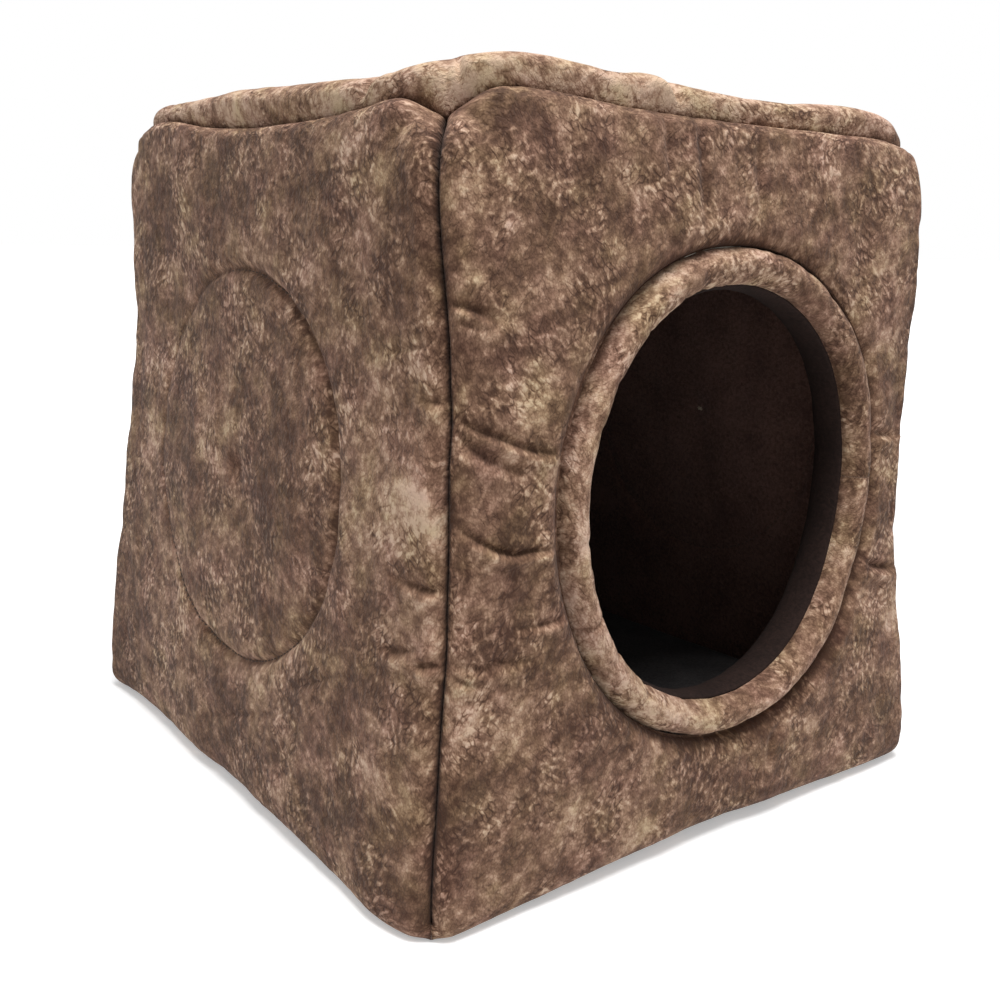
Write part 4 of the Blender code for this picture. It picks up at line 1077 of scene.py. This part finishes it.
def flat_piece(name, material, low, high, shift, columns=120):
    """A slab of the base between two heights, with a softly uneven top and bottom. It fills the
    room between the walls and follows the drawn cube."""
    skin = Skin()
    across, along = np.meshgrid(stations(columns), stations(columns))
    edges = []
    for level, way in ((low, -1), (high, 1)):
        wide, deep = (half_span(axis, level) - WALL - 0.0004 for axis in (0, 1))
        x, y = across * wide, along * deep
        edge = np.minimum((1 - np.abs(across)) * wide, (1 - np.abs(along)) * deep)
        rise = way * 0.0002 * layered(x, y, 0.012, 61, 3) * smooth_step(edge / 0.01)
        height = level + (rise if level > 0 else 0 * rise)
        points = drawn(np.stack([x, y, height], axis=-1))
        points[..., 2] = height
        number = skin.add(points, np.stack([x + shift, y], axis=-1))
        skin.quads(number if way > 0 else number[:, ::-1])
        edges.append(border(number))
    skin.ring_quads(np.stack(edges))
    return skin.finish(name, material)


def roof_lining_surface(across, along):
    """The roof lining's face, drawn back at its seams, and its cloth coordinates."""
    x, y = across * ROOF_HALF[0], along * ROOF_HALF[1]
    near = np.minimum((1 - np.abs(across)) * ROOF_HALF[0], (1 - np.abs(along)) * ROOF_HALF[1])
    soft = uneven(x, y, ROOF_LINING_SOFT) * smooth_step(near / LINING_SOFT_FADE)
    depth = WALL - ROOF_LINING_SEAM * np.exp(-near / LINING_SEAM_FADE) + soft
    return roof_points(across, along, depth), np.stack([x + 15, y], axis=-1)


def roof_lining(material, fineness=170):
    """The roof's lining: a sheet that faces down into the room."""
    back = np.array([WALL - LINING])
    return sheet(
        "roof_plush_lining", material, fineness, fineness, roof_lining_surface,
        lambda across, along: [roof_points(across, along, back + 0 * along)],
        roof_points(np.zeros(1), np.zeros(1), back),
    )


# Loose floor cushion: its underside, its seam, half its size, its corners' radius, how far its
# sides are drawn in and how wide its rounded edge is
CUSHION_LOW, CUSHION_SEAM = 0.0129, 0.0309
CUSHION_HALF = (0.1617, 0.1808)
CUSHION_ROUND, CUSHION_DRAW, CUSHION_EDGE = 0.050, 0.007, 0.040


def cushion_plan(angle, inset):
    """The plan of the cushion at an inset: straight sides drawn in by a cosine between rounded
    corners. Past the edge it shrinks evenly to the middle."""
    rim = np.minimum(inset, CUSHION_EDGE)
    wide, deep = CUSHION_HALF[0] - rim, CUSHION_HALF[1] - rim
    x, y = np.cos(angle), np.sin(angle)
    bound = np.maximum(np.abs(x) / wide, np.abs(y) / deep)
    x, y = x / bound, y / bound
    core_x = np.clip(x, CUSHION_ROUND - wide, wide - CUSHION_ROUND)
    core_y = np.clip(y, CUSHION_ROUND - deep, deep - CUSHION_ROUND)
    far = np.hypot(x - core_x, y - core_y)
    in_corner = (core_x != x) & (core_y != y)
    share = np.where(in_corner, CUSHION_ROUND / np.maximum(far, 1e-9), 1.0)
    draw_x = np.where(core_x != x, CUSHION_DRAW * np.cos(np.pi / 2 * y / deep), 0.0)
    draw_y = np.where(core_y != y, CUSHION_DRAW * np.cos(np.pi / 2 * x / wide), 0.0)
    x = core_x + (x - core_x) * share - np.sign(x) * draw_x
    y = core_y + (y - core_y) * share - np.sign(y) * draw_y
    left = CUSHION_HALF[0] - CUSHION_EDGE
    shrink = np.clip(1 - (inset - CUSHION_EDGE) / left, 0, 1)
    return x * shrink, y * shrink


# The covers' rise over the rounded edge and further to the middle, and half the seam's gap
COVER_RISE, COVER_SWELL, COVER_LIFT, SEAM_HALF = 0.0180, 0.0060, 0.0018, 0.0003


def cushion_cover(top, material, columns=300, rows=70):
    """One cover of the cushion: loops from the seam inwards, rising or falling on a rounded
    edge, with small folds along the seam, closed by a flat sheet inside."""
    skin = Skin()
    angle = np.arange(columns) * 2 * np.pi / columns
    reach = CUSHION_HALF[0] * (1 - 0.004)
    inset = reach * (np.linspace(0, 1, rows) ** 1.5)[:, None] + 0 * angle
    x, y = cushion_plan(angle + 0 * inset, inset)
    share = np.clip(inset / CUSHION_EDGE, 0, 1)
    round_edge = (1 - (1 - share) ** 2.4) ** (1 / 2.4)
    folds = gathers(inset, angle * 0.17 + 0 * inset, *CUSHION_GATHERS, 107) * smooth_step(inset / 0.004)
    if top:
        flat = CUSHION_SEAM + SEAM_HALF
        level = flat + COVER_RISE * round_edge + COVER_SWELL * smooth_step(inset / reach)
        level = level + (COVER_LIFT + uneven(x, y, CUSHION_SOFT) + folds) * share
    else:
        flat = CUSHION_SEAM - SEAM_HALF
        level = np.maximum(flat - COVER_RISE * round_edge - folds * share * 0.5, CUSHION_LOW)
    number = skin.add(np.stack([x, y, level], axis=-1), np.stack([x + 19, y], axis=-1))
    skin.ring_quads(number)
    skin.fan(number[-1], skin.add(np.array([[0.0, 0.0, level[-1].mean()]]))[0])
    skin.fan(number[0][::-1], skin.add(np.array([[0.0, 0.0, flat]]))[0])
    return skin.finish("cushion_top" if top else "cushion_bottom", material)



# Strength of the suede's pale strokes, of the dark gaps between them and of its small flecks
GLINT_LIFT, PIT_DROP, FLECK_LIFT = 0.30, 0.12, 0.16
# Darkness of its wide and small creases, and what brings the whole cloth to its level
CREASE_DROP, SMALL_CREASE_DROP = 0.38, 0.12
SUEDE_LEVEL = 0.060
# Its colours from dark to pale, and the tints that drift over it, each at a place from 0 to 1
SUEDE_COLOURS = [
    (0.0, (0.062, 0.029, 0.017)),
    (0.25, (0.112, 0.059, 0.036)),
    (0.48, (0.190, 0.107, 0.068)),
    (0.72, (0.335, 0.212, 0.142)),
    (1.0, (0.540, 0.390, 0.285)),
]
SUEDE_TINTS = [
    (0.36, (0.97, 1.00, 0.88)),
    (0.47, (1.00, 0.985, 0.95)),
    (0.53, (1.0, 0.975, 0.97)),
    (0.64, (1.02, 0.955, 1.0)),
]


def fill(made, inputs):
    """Gives a node's inputs their values: a socket is linked, anything else is set."""
    for name, value in inputs.items():
        if isinstance(value, bpy.types.NodeSocket):
            made.id_data.links.new(value, made.inputs[name])
        else:
            made.inputs[name].default_value = value


def node(tree, kind, inputs=None, **settings):
    """A new node with these settings and inputs."""
    made = tree.nodes.new(kind)
    for name, value in settings.items():
        setattr(made, name, value)
    fill(made, inputs or {})
    return made


def combined(tree, first, second, how="ADD"):
    """Two values added, or combined in another way."""
    return node(tree, "ShaderNodeMath", {0: first, 1: second}, operation=how).outputs[0]


def product(tree, first, second):
    return combined(tree, first, second, "MULTIPLY")


def noise(tree, vector, scale, detail=2.0, rough=0.5, warp=0.0):
    inputs = {"Vector": vector, "Scale": scale, "Detail": detail, "Roughness": rough, "Distortion": warp}
    return node(tree, "ShaderNodeTexNoise", inputs).outputs[0]


def turned(tree, vector, turn, longer=1.0):
    """Coordinates turned by an angle, on which marks come out this much longer than wide."""
    inputs = {"Vector": vector, "Rotation": (0, 0, turn), "Scale": (1.0, longer, 1.0)}
    return node(tree, "ShaderNodeMapping", inputs, vector_type="TEXTURE").outputs[0]


def creases(tree, vector, scale, width):
    """Thin creases between small uneven cells: 1 along a crease and 0 inside a cell. The cells'
    coordinates are shaken by noise, so that no crease runs straight."""
    inputs = {"Vector": vector, "Scale": 1.1 * scale, "Detail": 1.0}
    shake = node(tree, "ShaderNodeTexNoise", inputs).outputs["Color"]
    inputs = {0: shake, 1: (0.7 / scale,) * 3, 2: vector}
    shaken = node(tree, "ShaderNodeVectorMath", inputs, operation="MULTIPLY_ADD").outputs[0]
    inputs = {"Vector": shaken, "Scale": scale, "Randomness": 1.0}
    cells = node(tree, "ShaderNodeTexVoronoi", inputs, feature="DISTANCE_TO_EDGE", voronoi_dimensions="2D")
    return between(tree, cells.outputs["Distance"], 0.0, width, 1.0, 0.0)


def between(tree, value, low, high, new_low=0.0, new_high=1.0):
    """The value carried from one range to another along a smooth step."""
    inputs = {0: value, 1: low, 2: high, 3: new_low, 4: new_high}
    return node(tree, "ShaderNodeMapRange", inputs, interpolation_type="SMOOTHSTEP").outputs[0]


def blend(tree, factor, first, second, how="MIX"):
    """Two colours mixed by a factor, or combined in another way."""
    inputs = {0: factor, 6: first, 7: second}
    return node(tree, "ShaderNodeMix", inputs, data_type="RGBA", blend_type=how).outputs[2]


def ramp(tree, value, stops):
    """The value turned into a colour, by stops at places from 0 to 1."""
    made = node(tree, "ShaderNodeValToRGB", {0: value})
    marks = made.color_ramp.elements
    while len(marks) < len(stops):
        marks.new(0.5)
    for mark, (place, colour) in zip(marks, stops):
        mark.position = place
        mark.color = (*colour, 1.0)
    return made.outputs[0]


def new_group(name, inputs, outputs):
    """An empty node group with these inputs, each given as its kind of socket and its value, and
    these outputs. Returns it with its input and output nodes."""
    group = bpy.data.node_groups.new(name, "ShaderNodeTree")
    for label, (kind, value) in inputs.items():
        socket = group.interface.new_socket(name=label, in_out="INPUT", socket_type=f"NodeSocket{kind}")
        if value is not None:
            socket.default_value = value
    for label, kind in outputs.items():
        group.interface.new_socket(name=label, in_out="OUTPUT", socket_type=f"NodeSocket{kind}")
    return group, group.nodes.new("NodeGroupInput"), group.nodes.new("NodeGroupOutput")


def crushed_suede_group():
    """Mottled suede: large soft patches, clouds and a fine mottle, with short strokes where the
    crushed nap stands up pale beside dark gaps. The strokes run upright, slanted or crossed,
    each in its own areas, and fade out between them. Over it lie thin dark creases, rising or
    falling by areas. Cloth coordinates are in metres."""
    inputs = {"Cloth": ("Vector", None), "Tone": ("Float", 0.0)}
    outputs = {"Colour": "Color", "Roughness": "Float", "Height": "Float"}
    tree, given, result = new_group("crushed_suede", inputs, outputs)
    cloth = given.outputs["Cloth"]

    def spread(scale, detail, rough=0.5, turn=None, longer=1.0):
        vector = cloth if turn is None else turned(tree, cloth, turn, longer)
        return noise(tree, vector, scale, detail, rough)

    patches, grain = spread(13.0, 3.0, 0.6), spread(900.0, 2.0)
    clouds, mottle = spread(44.0, 4.0, 0.60, 0.2), spread(150.0, 3.0, 0.55, 0.3)
    flecks = spread(300.0, 1.5, turn=0.9, longer=1.3)
    upright = spread(400.0, 0.5, turn=0.0, longer=2.0)
    slanted = spread(390.0, 0.5, turn=0.80, longer=2.0)
    crossed = spread(380.0, 0.5, turn=-0.80, longer=1.7)
    strokes = blend(tree, between(tree, spread(10.0, 1.0), 0.46, 0.53), upright, slanted)
    strokes = blend(tree, between(tree, spread(14.0, 1.0, turn=1.0), 0.55, 0.60), strokes, crossed)
    zone = between(tree, spread(26.0, 2.0, turn=2.0), 0.44, 0.58, 0.08, 1.0)
    glint = product(tree, between(tree, strokes, 0.52, 0.66), zone)
    pit = product(tree, between(tree, strokes, 0.47, 0.33), zone)
    rising = creases(tree, turned(tree, cloth, -0.75, 2.0), 290.0, 0.20)
    falling = creases(tree, turned(tree, cloth, 0.70, 1.9), 280.0, 0.20)
    leaning = between(tree, spread(17.0, 1.0, turn=1.5), 0.46, 0.54)
    broken = between(tree, spread(105.0, 2.0), 0.40, 0.62, 0.10, 1.0)
    wide_creases = product(tree, blend(tree, leaning, rising, falling), broken)
    wide_drop = product(tree, between(tree, zone, 0.08, 1.0, -0.35, -1.0), CREASE_DROP)
    small_creases = creases(tree, turned(tree, cloth, 0.1, 1.5), 520.0, 0.24)
    level = between(tree, patches, 0.30, 0.70, -0.18, 0.18)
    for part in (
        between(tree, clouds, 0.30, 0.70, 0.17, 0.65),
        between(tree, mottle, 0.30, 0.70, -0.17, 0.17),
        product(tree, glint, GLINT_LIFT),
        product(tree, pit, -PIT_DROP),
        between(tree, flecks, 0.54, 0.68, 0.0, FLECK_LIFT),
        between(tree, flecks, 0.46, 0.34, 0.0, -0.5 * FLECK_LIFT),
        between(tree, grain, 0.2, 0.8, -0.04, 0.04),
        product(tree, wide_creases, wide_drop),
        product(tree, small_creases, -SMALL_CREASE_DROP),
        SUEDE_LEVEL,
        given.outputs["Tone"],
    ):
        level = combined(tree, level, part)
    tint = ramp(tree, spread(28.0, 3.0, 0.6, 0.4), SUEDE_TINTS)
    height = product(tree, strokes, 0.5)
    for part, rise in ((mottle, 0.9), (wide_creases, -0.16), (small_creases, -0.06)):
        height = combined(tree, height, product(tree, part, rise))
    fill(result, {
        "Colour": blend(tree, 1.0, ramp(tree, level, SUEDE_COLOURS), tint, "MULTIPLY"),
        "Roughness": between(tree, glint, 0.0, 1.0, 0.80, 0.62),
        "Height": height,
    })
    return tree


def pile_group():
    """Short pile or fleece: fine clumps with darker gaps, over a slow change of tone."""
    inputs = {
        "Cloth": ("Vector", None),
        "Dark": ("Color", None),
        "Light": ("Color", None),
        "Clump": ("Float", 500.0),
    }
    tree, given, result = new_group("soft_pile", inputs, {"Colour": "Color", "Height": "Float"})
    cloth, dark, light, clump = (given.outputs[name] for name in inputs)
    fine = noise(tree, cloth, clump, 3.0, 0.6, 0.8)
    slow = noise(tree, cloth, 24.0, 3.0, 0.6)
    mixed = combined(tree, product(tree, fine, 0.6), product(tree, slow, 0.4))
    colour = blend(tree, between(tree, mixed, 0.34, 0.66), dark, light)
    fill(result, {"Colour": colour, "Height": fine})
    return tree


def new_material(name):
    """A new material, its node tree and its Principled shader."""
    material = bpy.data.materials.new(name)
    material.use_nodes = True
    tree = material.node_tree
    return material, tree, tree.nodes["Principled BSDF"]


def grouped_look(tree, group, strength, depth, inputs):
    """The group on the piece's own cloth coordinates, and a bump that follows its height."""
    look = node(tree, "ShaderNodeGroup", node_tree=group)
    cloth = node(tree, "ShaderNodeUVMap", uv_map="cloth").outputs[0]
    fill(look, {"Cloth": cloth, **inputs})
    bump_inputs = {"Height": look.outputs["Height"], "Strength": strength, "Distance": depth}
    return look, node(tree, "ShaderNodeBump", bump_inputs).outputs[0]


def suede_material(group):
    """The crushed suede, paler and darker by the piece's own tone, which also holds painted light and shade.
    """
    material, tree, shader = new_material("crushed_suede")
    tone = node(tree, "ShaderNodeAttribute", attribute_name="tone").outputs["Fac"]
    look, bump = grouped_look(tree, group, 0.8, 0.0018, {"Tone": tone})
    fill(shader, {
        "Base Color": look.outputs["Colour"],
        "Roughness": look.outputs["Roughness"],
        "Normal": bump,
        "Specular IOR Level": 0.20,
        "Sheen Weight": 0.04,
        "Sheen Roughness": 0.5,
    })
    return material


def pile_material(group, name, dark, light, clump, bump_height, sheen):
    """Plush, fleece or plain cloth, between two colours."""
    material, tree, shader = new_material(name)
    inputs = {"Dark": (*dark, 1.0), "Light": (*light, 1.0), "Clump": clump}
    look, bump = grouped_look(tree, group, 0.6, bump_height, inputs)
    fill(shader, {
        "Base Color": look.outputs["Colour"],
        "Roughness": 0.92,
        "Normal": bump,
        "Specular IOR Level": 0.2,
        "Sheen Weight": sheen,
        "Sheen Roughness": 0.5,
    })
    return material


def object_material(name, dark, light, scale, rough, bump_height):
    """A material on object coordinates, for threads and for the hidden foam."""
    material, tree, shader = new_material(name)
    fine = noise(tree, node(tree, "ShaderNodeTexCoord").outputs["Object"], scale, 3.0, 0.6)
    colour = blend(tree, between(tree, fine, 0.35, 0.65), (*dark, 1.0), (*light, 1.0))
    bump = node(tree, "ShaderNodeBump", {"Height": fine, "Strength": 0.5, "Distance": bump_height})
    fill(shader, {"Base Color": colour, "Normal": bump.outputs[0], "Roughness": rough})
    return material


# Pile materials: name, dark and pale colour, clumps, bump height and sheen
PILES = {
    # The linings' plush and the facing's are one cloth: the linings' colours are lifted by painted light for
    # the shaded room inside, and the facing's are darkened by painted shade
    "plush": ("brown_plush", (0.066, 0.0315, 0.0240), (0.168, 0.090, 0.070), 420.0, 0.0010, 0.14),
    "facing": ("plush_in_painted_shade", (0.011, 0.0056, 0.0043), (0.025, 0.0132, 0.0104), 420.0, 0.0008, 0.0),
    "fleece": ("charcoal_fleece", (0.012, 0.0105, 0.0105), (0.038, 0.034, 0.034), 520.0, 0.0008, 0.03),
    "base": ("dark_base_cloth", (0.018, 0.014, 0.012), (0.040, 0.033, 0.028), 900.0, 0.0003, 0.05),
}
# Threads and foam: name, dark and pale colour, grain, roughness and bump height
PLAINS = {
    "brown_thread": ("brown_thread", (0.035, 0.020, 0.013), (0.075, 0.045, 0.030), 2500.0, 0.7, 0.0001),
    "pale_thread": ("pale_thread", (0.34, 0.27, 0.20), (0.52, 0.43, 0.33), 2500.0, 0.7, 0.0001),
    "padding": ("padding_foam", (0.70, 0.66, 0.55), (0.80, 0.77, 0.68), 700.0, 0.95, 0.0004),
}


def make_materials():
    pile = pile_group()
    looks = {"suede": suede_material(crushed_suede_group())}
    looks.update((key, pile_material(pile, *values)) for key, values in PILES.items())
    looks.update((key, object_material(*values)) for key, values in PLAINS.items())
    return looks


def place_piece(piece, body, stands_for):
    """Puts a piece on its body, instead of a CAD node, which it hides."""
    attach(piece, body)
    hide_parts(stands_for)


def make_cube(looks):
    suede, plush = looks["suede"], looks["plush"]
    place_piece(front_panel(suede), "cube", "front_quilted_panel")
    for side, fineness in (("left", (304, 310)), ("back", (230, 240)), ("right", (230, 240))):
        place_piece(plain_panel(side, suede, *fineness), "cube", f"{side}_quilted_panel")
        thread = stitch_ring(side, looks["brown_thread"])
        place_piece(thread, "cube", f"{side}_quilting_thread")
        outer = thread_tack(side, True, looks["pale_thread"])
        place_piece(outer, "cube", f"{side}_outer_tack")
        inner = thread_tack(side, False, looks["pale_thread"])
        place_piece(inner, "cube", f"{side}_lining_tack")
        place_piece(plain_lining(side, plush), "cube", f"{side}_lining")
    place_piece(roof_panel(suede), "cube", "roof_quilted_panel")
    place_piece(entrance_rim(suede), "cube", "entrance_rim_cover")
    place_piece(rim_facing(looks["facing"]), "cube", "entrance_rim_facing")
    place_piece(front_lining(plush), "cube", "front_lining")
    place_piece(roof_lining(plush), "cube", "roof_lining")
    base = flat_piece("base_cloth", looks["base"], 0.0, BASE_CLOTH, 21.0)
    place_piece(base, "cube", "base_fabric")
    floor = flat_piece("base_plush_lining", plush, BASE_TOP - BASE_LINING, BASE_TOP, 23.0)
    place_piece(floor, "cube", "base_lining")


def make_cushion(looks):
    for top, stands_for in ((True, "cushion_top_cover"), (False, "cushion_bottom_cover")):
        place_piece(cushion_cover(top, looks["fleece"]), "cushion", stands_for)


def colour_padding(foam):
    """The hidden foam and fillings keep their CAD shape, in a foam's look."""
    boards = [f"{name}_foam_board" for name in ("front", "back", "left", "right", "roof", "base")]
    for name in (*boards, "entrance_rim_filling", "cushion_filling"):
        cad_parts[name].material_slots[0].material = foam


# The photograph's camera, and a plain pale studio
CAMERA_AT = (-0.4875, -0.6461, 0.3432)
CAMERA_YAW, CAMERA_PITCH, CAMERA_ROLL = np.radians((37.4177, 12.5472, 1.0394))
SENSOR = 36.0
CAMERA_LENS = SENSOR * 1.1677
FLOOR_SIZE, FLOOR_LEVEL = 30, -0.0004
WORLD_LIGHT = 0.52
LAMP_AT, LAMP_TARGET = (-0.20, -0.55, 2.3), (0.0, 0.0, 0.2)
LAMP_SIZE, LAMP_POWER = 1.0, 60.0
WHITE = (1.0, 1.0, 1.0, 1.0)


def make_camera():
    """The camera looks along its yaw and pitch, and is rolled about that line."""
    forward = np.array([
        np.sin(CAMERA_YAW) * np.cos(CAMERA_PITCH),
        np.cos(CAMERA_YAW) * np.cos(CAMERA_PITCH),
        -np.sin(CAMERA_PITCH),
    ])
    flat = np.array([np.cos(CAMERA_YAW), -np.sin(CAMERA_YAW), 0.0])
    above = np.cross(flat, forward)
    right = np.cos(CAMERA_ROLL) * flat + np.sin(CAMERA_ROLL) * above
    up = -np.sin(CAMERA_ROLL) * flat + np.cos(CAMERA_ROLL) * above
    data = bpy.data.cameras.new("photo_camera")
    data.lens = CAMERA_LENS
    data.sensor_width = SENSOR
    data.clip_start, data.clip_end = 0.02, 50.0
    camera = place_in_scene("photo_camera", data)
    camera.matrix_world = Matrix.Translation(CAMERA_AT) @ Matrix((right, up, -forward)).transposed().to_4x4()
    bpy.context.scene.camera = camera


def make_lamp():
    """A soft square lamp that faces its target."""
    data = bpy.data.lights.new("high_soft_light", "AREA")
    data.shape, data.size, data.energy = "SQUARE", LAMP_SIZE, LAMP_POWER
    way = np.array(LAMP_TARGET) - np.array(LAMP_AT)
    way = way / np.linalg.norm(way)
    side = np.cross(way, (0.0, 0.0, 1.0))
    side = side / np.linalg.norm(side)
    turn = Matrix((side, np.cross(side, way), -way)).transposed().to_4x4()
    place_in_scene("high_soft_light", data).matrix_world = Matrix.Translation(LAMP_AT) @ turn


def make_floor():
    """A plain pale floor. The camera sees it lifted to white, apart from the soft shadow, and
    far from the object it is white however little light falls on it."""
    mesh = bpy.data.meshes.new("studio_floor")
    corners = [(x * FLOOR_SIZE, y * FLOOR_SIZE, FLOOR_LEVEL) for x, y in ((-1, -1), (1, -1), (1, 1), (-1, 1))]
    mesh.from_pydata(corners, [], [(0, 1, 2, 3)])
    material, tree, shader = new_material("pale_floor")
    place = node(tree, "ShaderNodeTexCoord").outputs["Object"]
    pale = blend(tree, noise(tree, place, 6.0, 2.0), (0.80, 0.80, 0.80, 1.0), (0.82, 0.82, 0.82, 1.0))
    far = node(tree, "ShaderNodeVectorMath", {0: place}, operation="LENGTH").outputs["Value"]
    lifted = between(tree, far, 0.35, 2.2, 0.34, 1.0)
    seen = node(tree, "ShaderNodeLightPath").outputs
    shown = combined(tree, seen["Is Camera Ray"], seen["Is Glossy Ray"], "MAXIMUM")
    fill(shader, {
        "Base Color": pale,
        "Roughness": 0.9,
        "Specular IOR Level": 0.1,
        "Emission Color": WHITE,
        "Emission Strength": product(tree, shown, lifted),
    })
    mesh.materials.append(material)
    place_in_scene("studio_floor", mesh)


def make_world():
    """Even light from all round, which the camera sees as white."""
    world = bpy.data.worlds.new("plain_studio")
    world.use_nodes = True
    tree = world.node_tree
    seen = node(tree, "ShaderNodeLightPath").outputs
    shown = combined(tree, seen["Is Camera Ray"], seen["Is Transmission Ray"], "MAXIMUM")
    level = between(tree, shown, 0.0, 1.0, WORLD_LIGHT, 1.0)
    fill(tree.nodes["Background"], {"Color": WHITE, "Strength": level})
    bpy.context.scene.world = world


def main():
    looks = make_materials()
    make_cube(looks)
    make_cushion(looks)
    colour_padding(looks["padding"])
    make_camera()
    make_floor()
    make_world()
    make_lamp()
    bpy.context.scene.view_settings.view_transform = "Standard"


main()
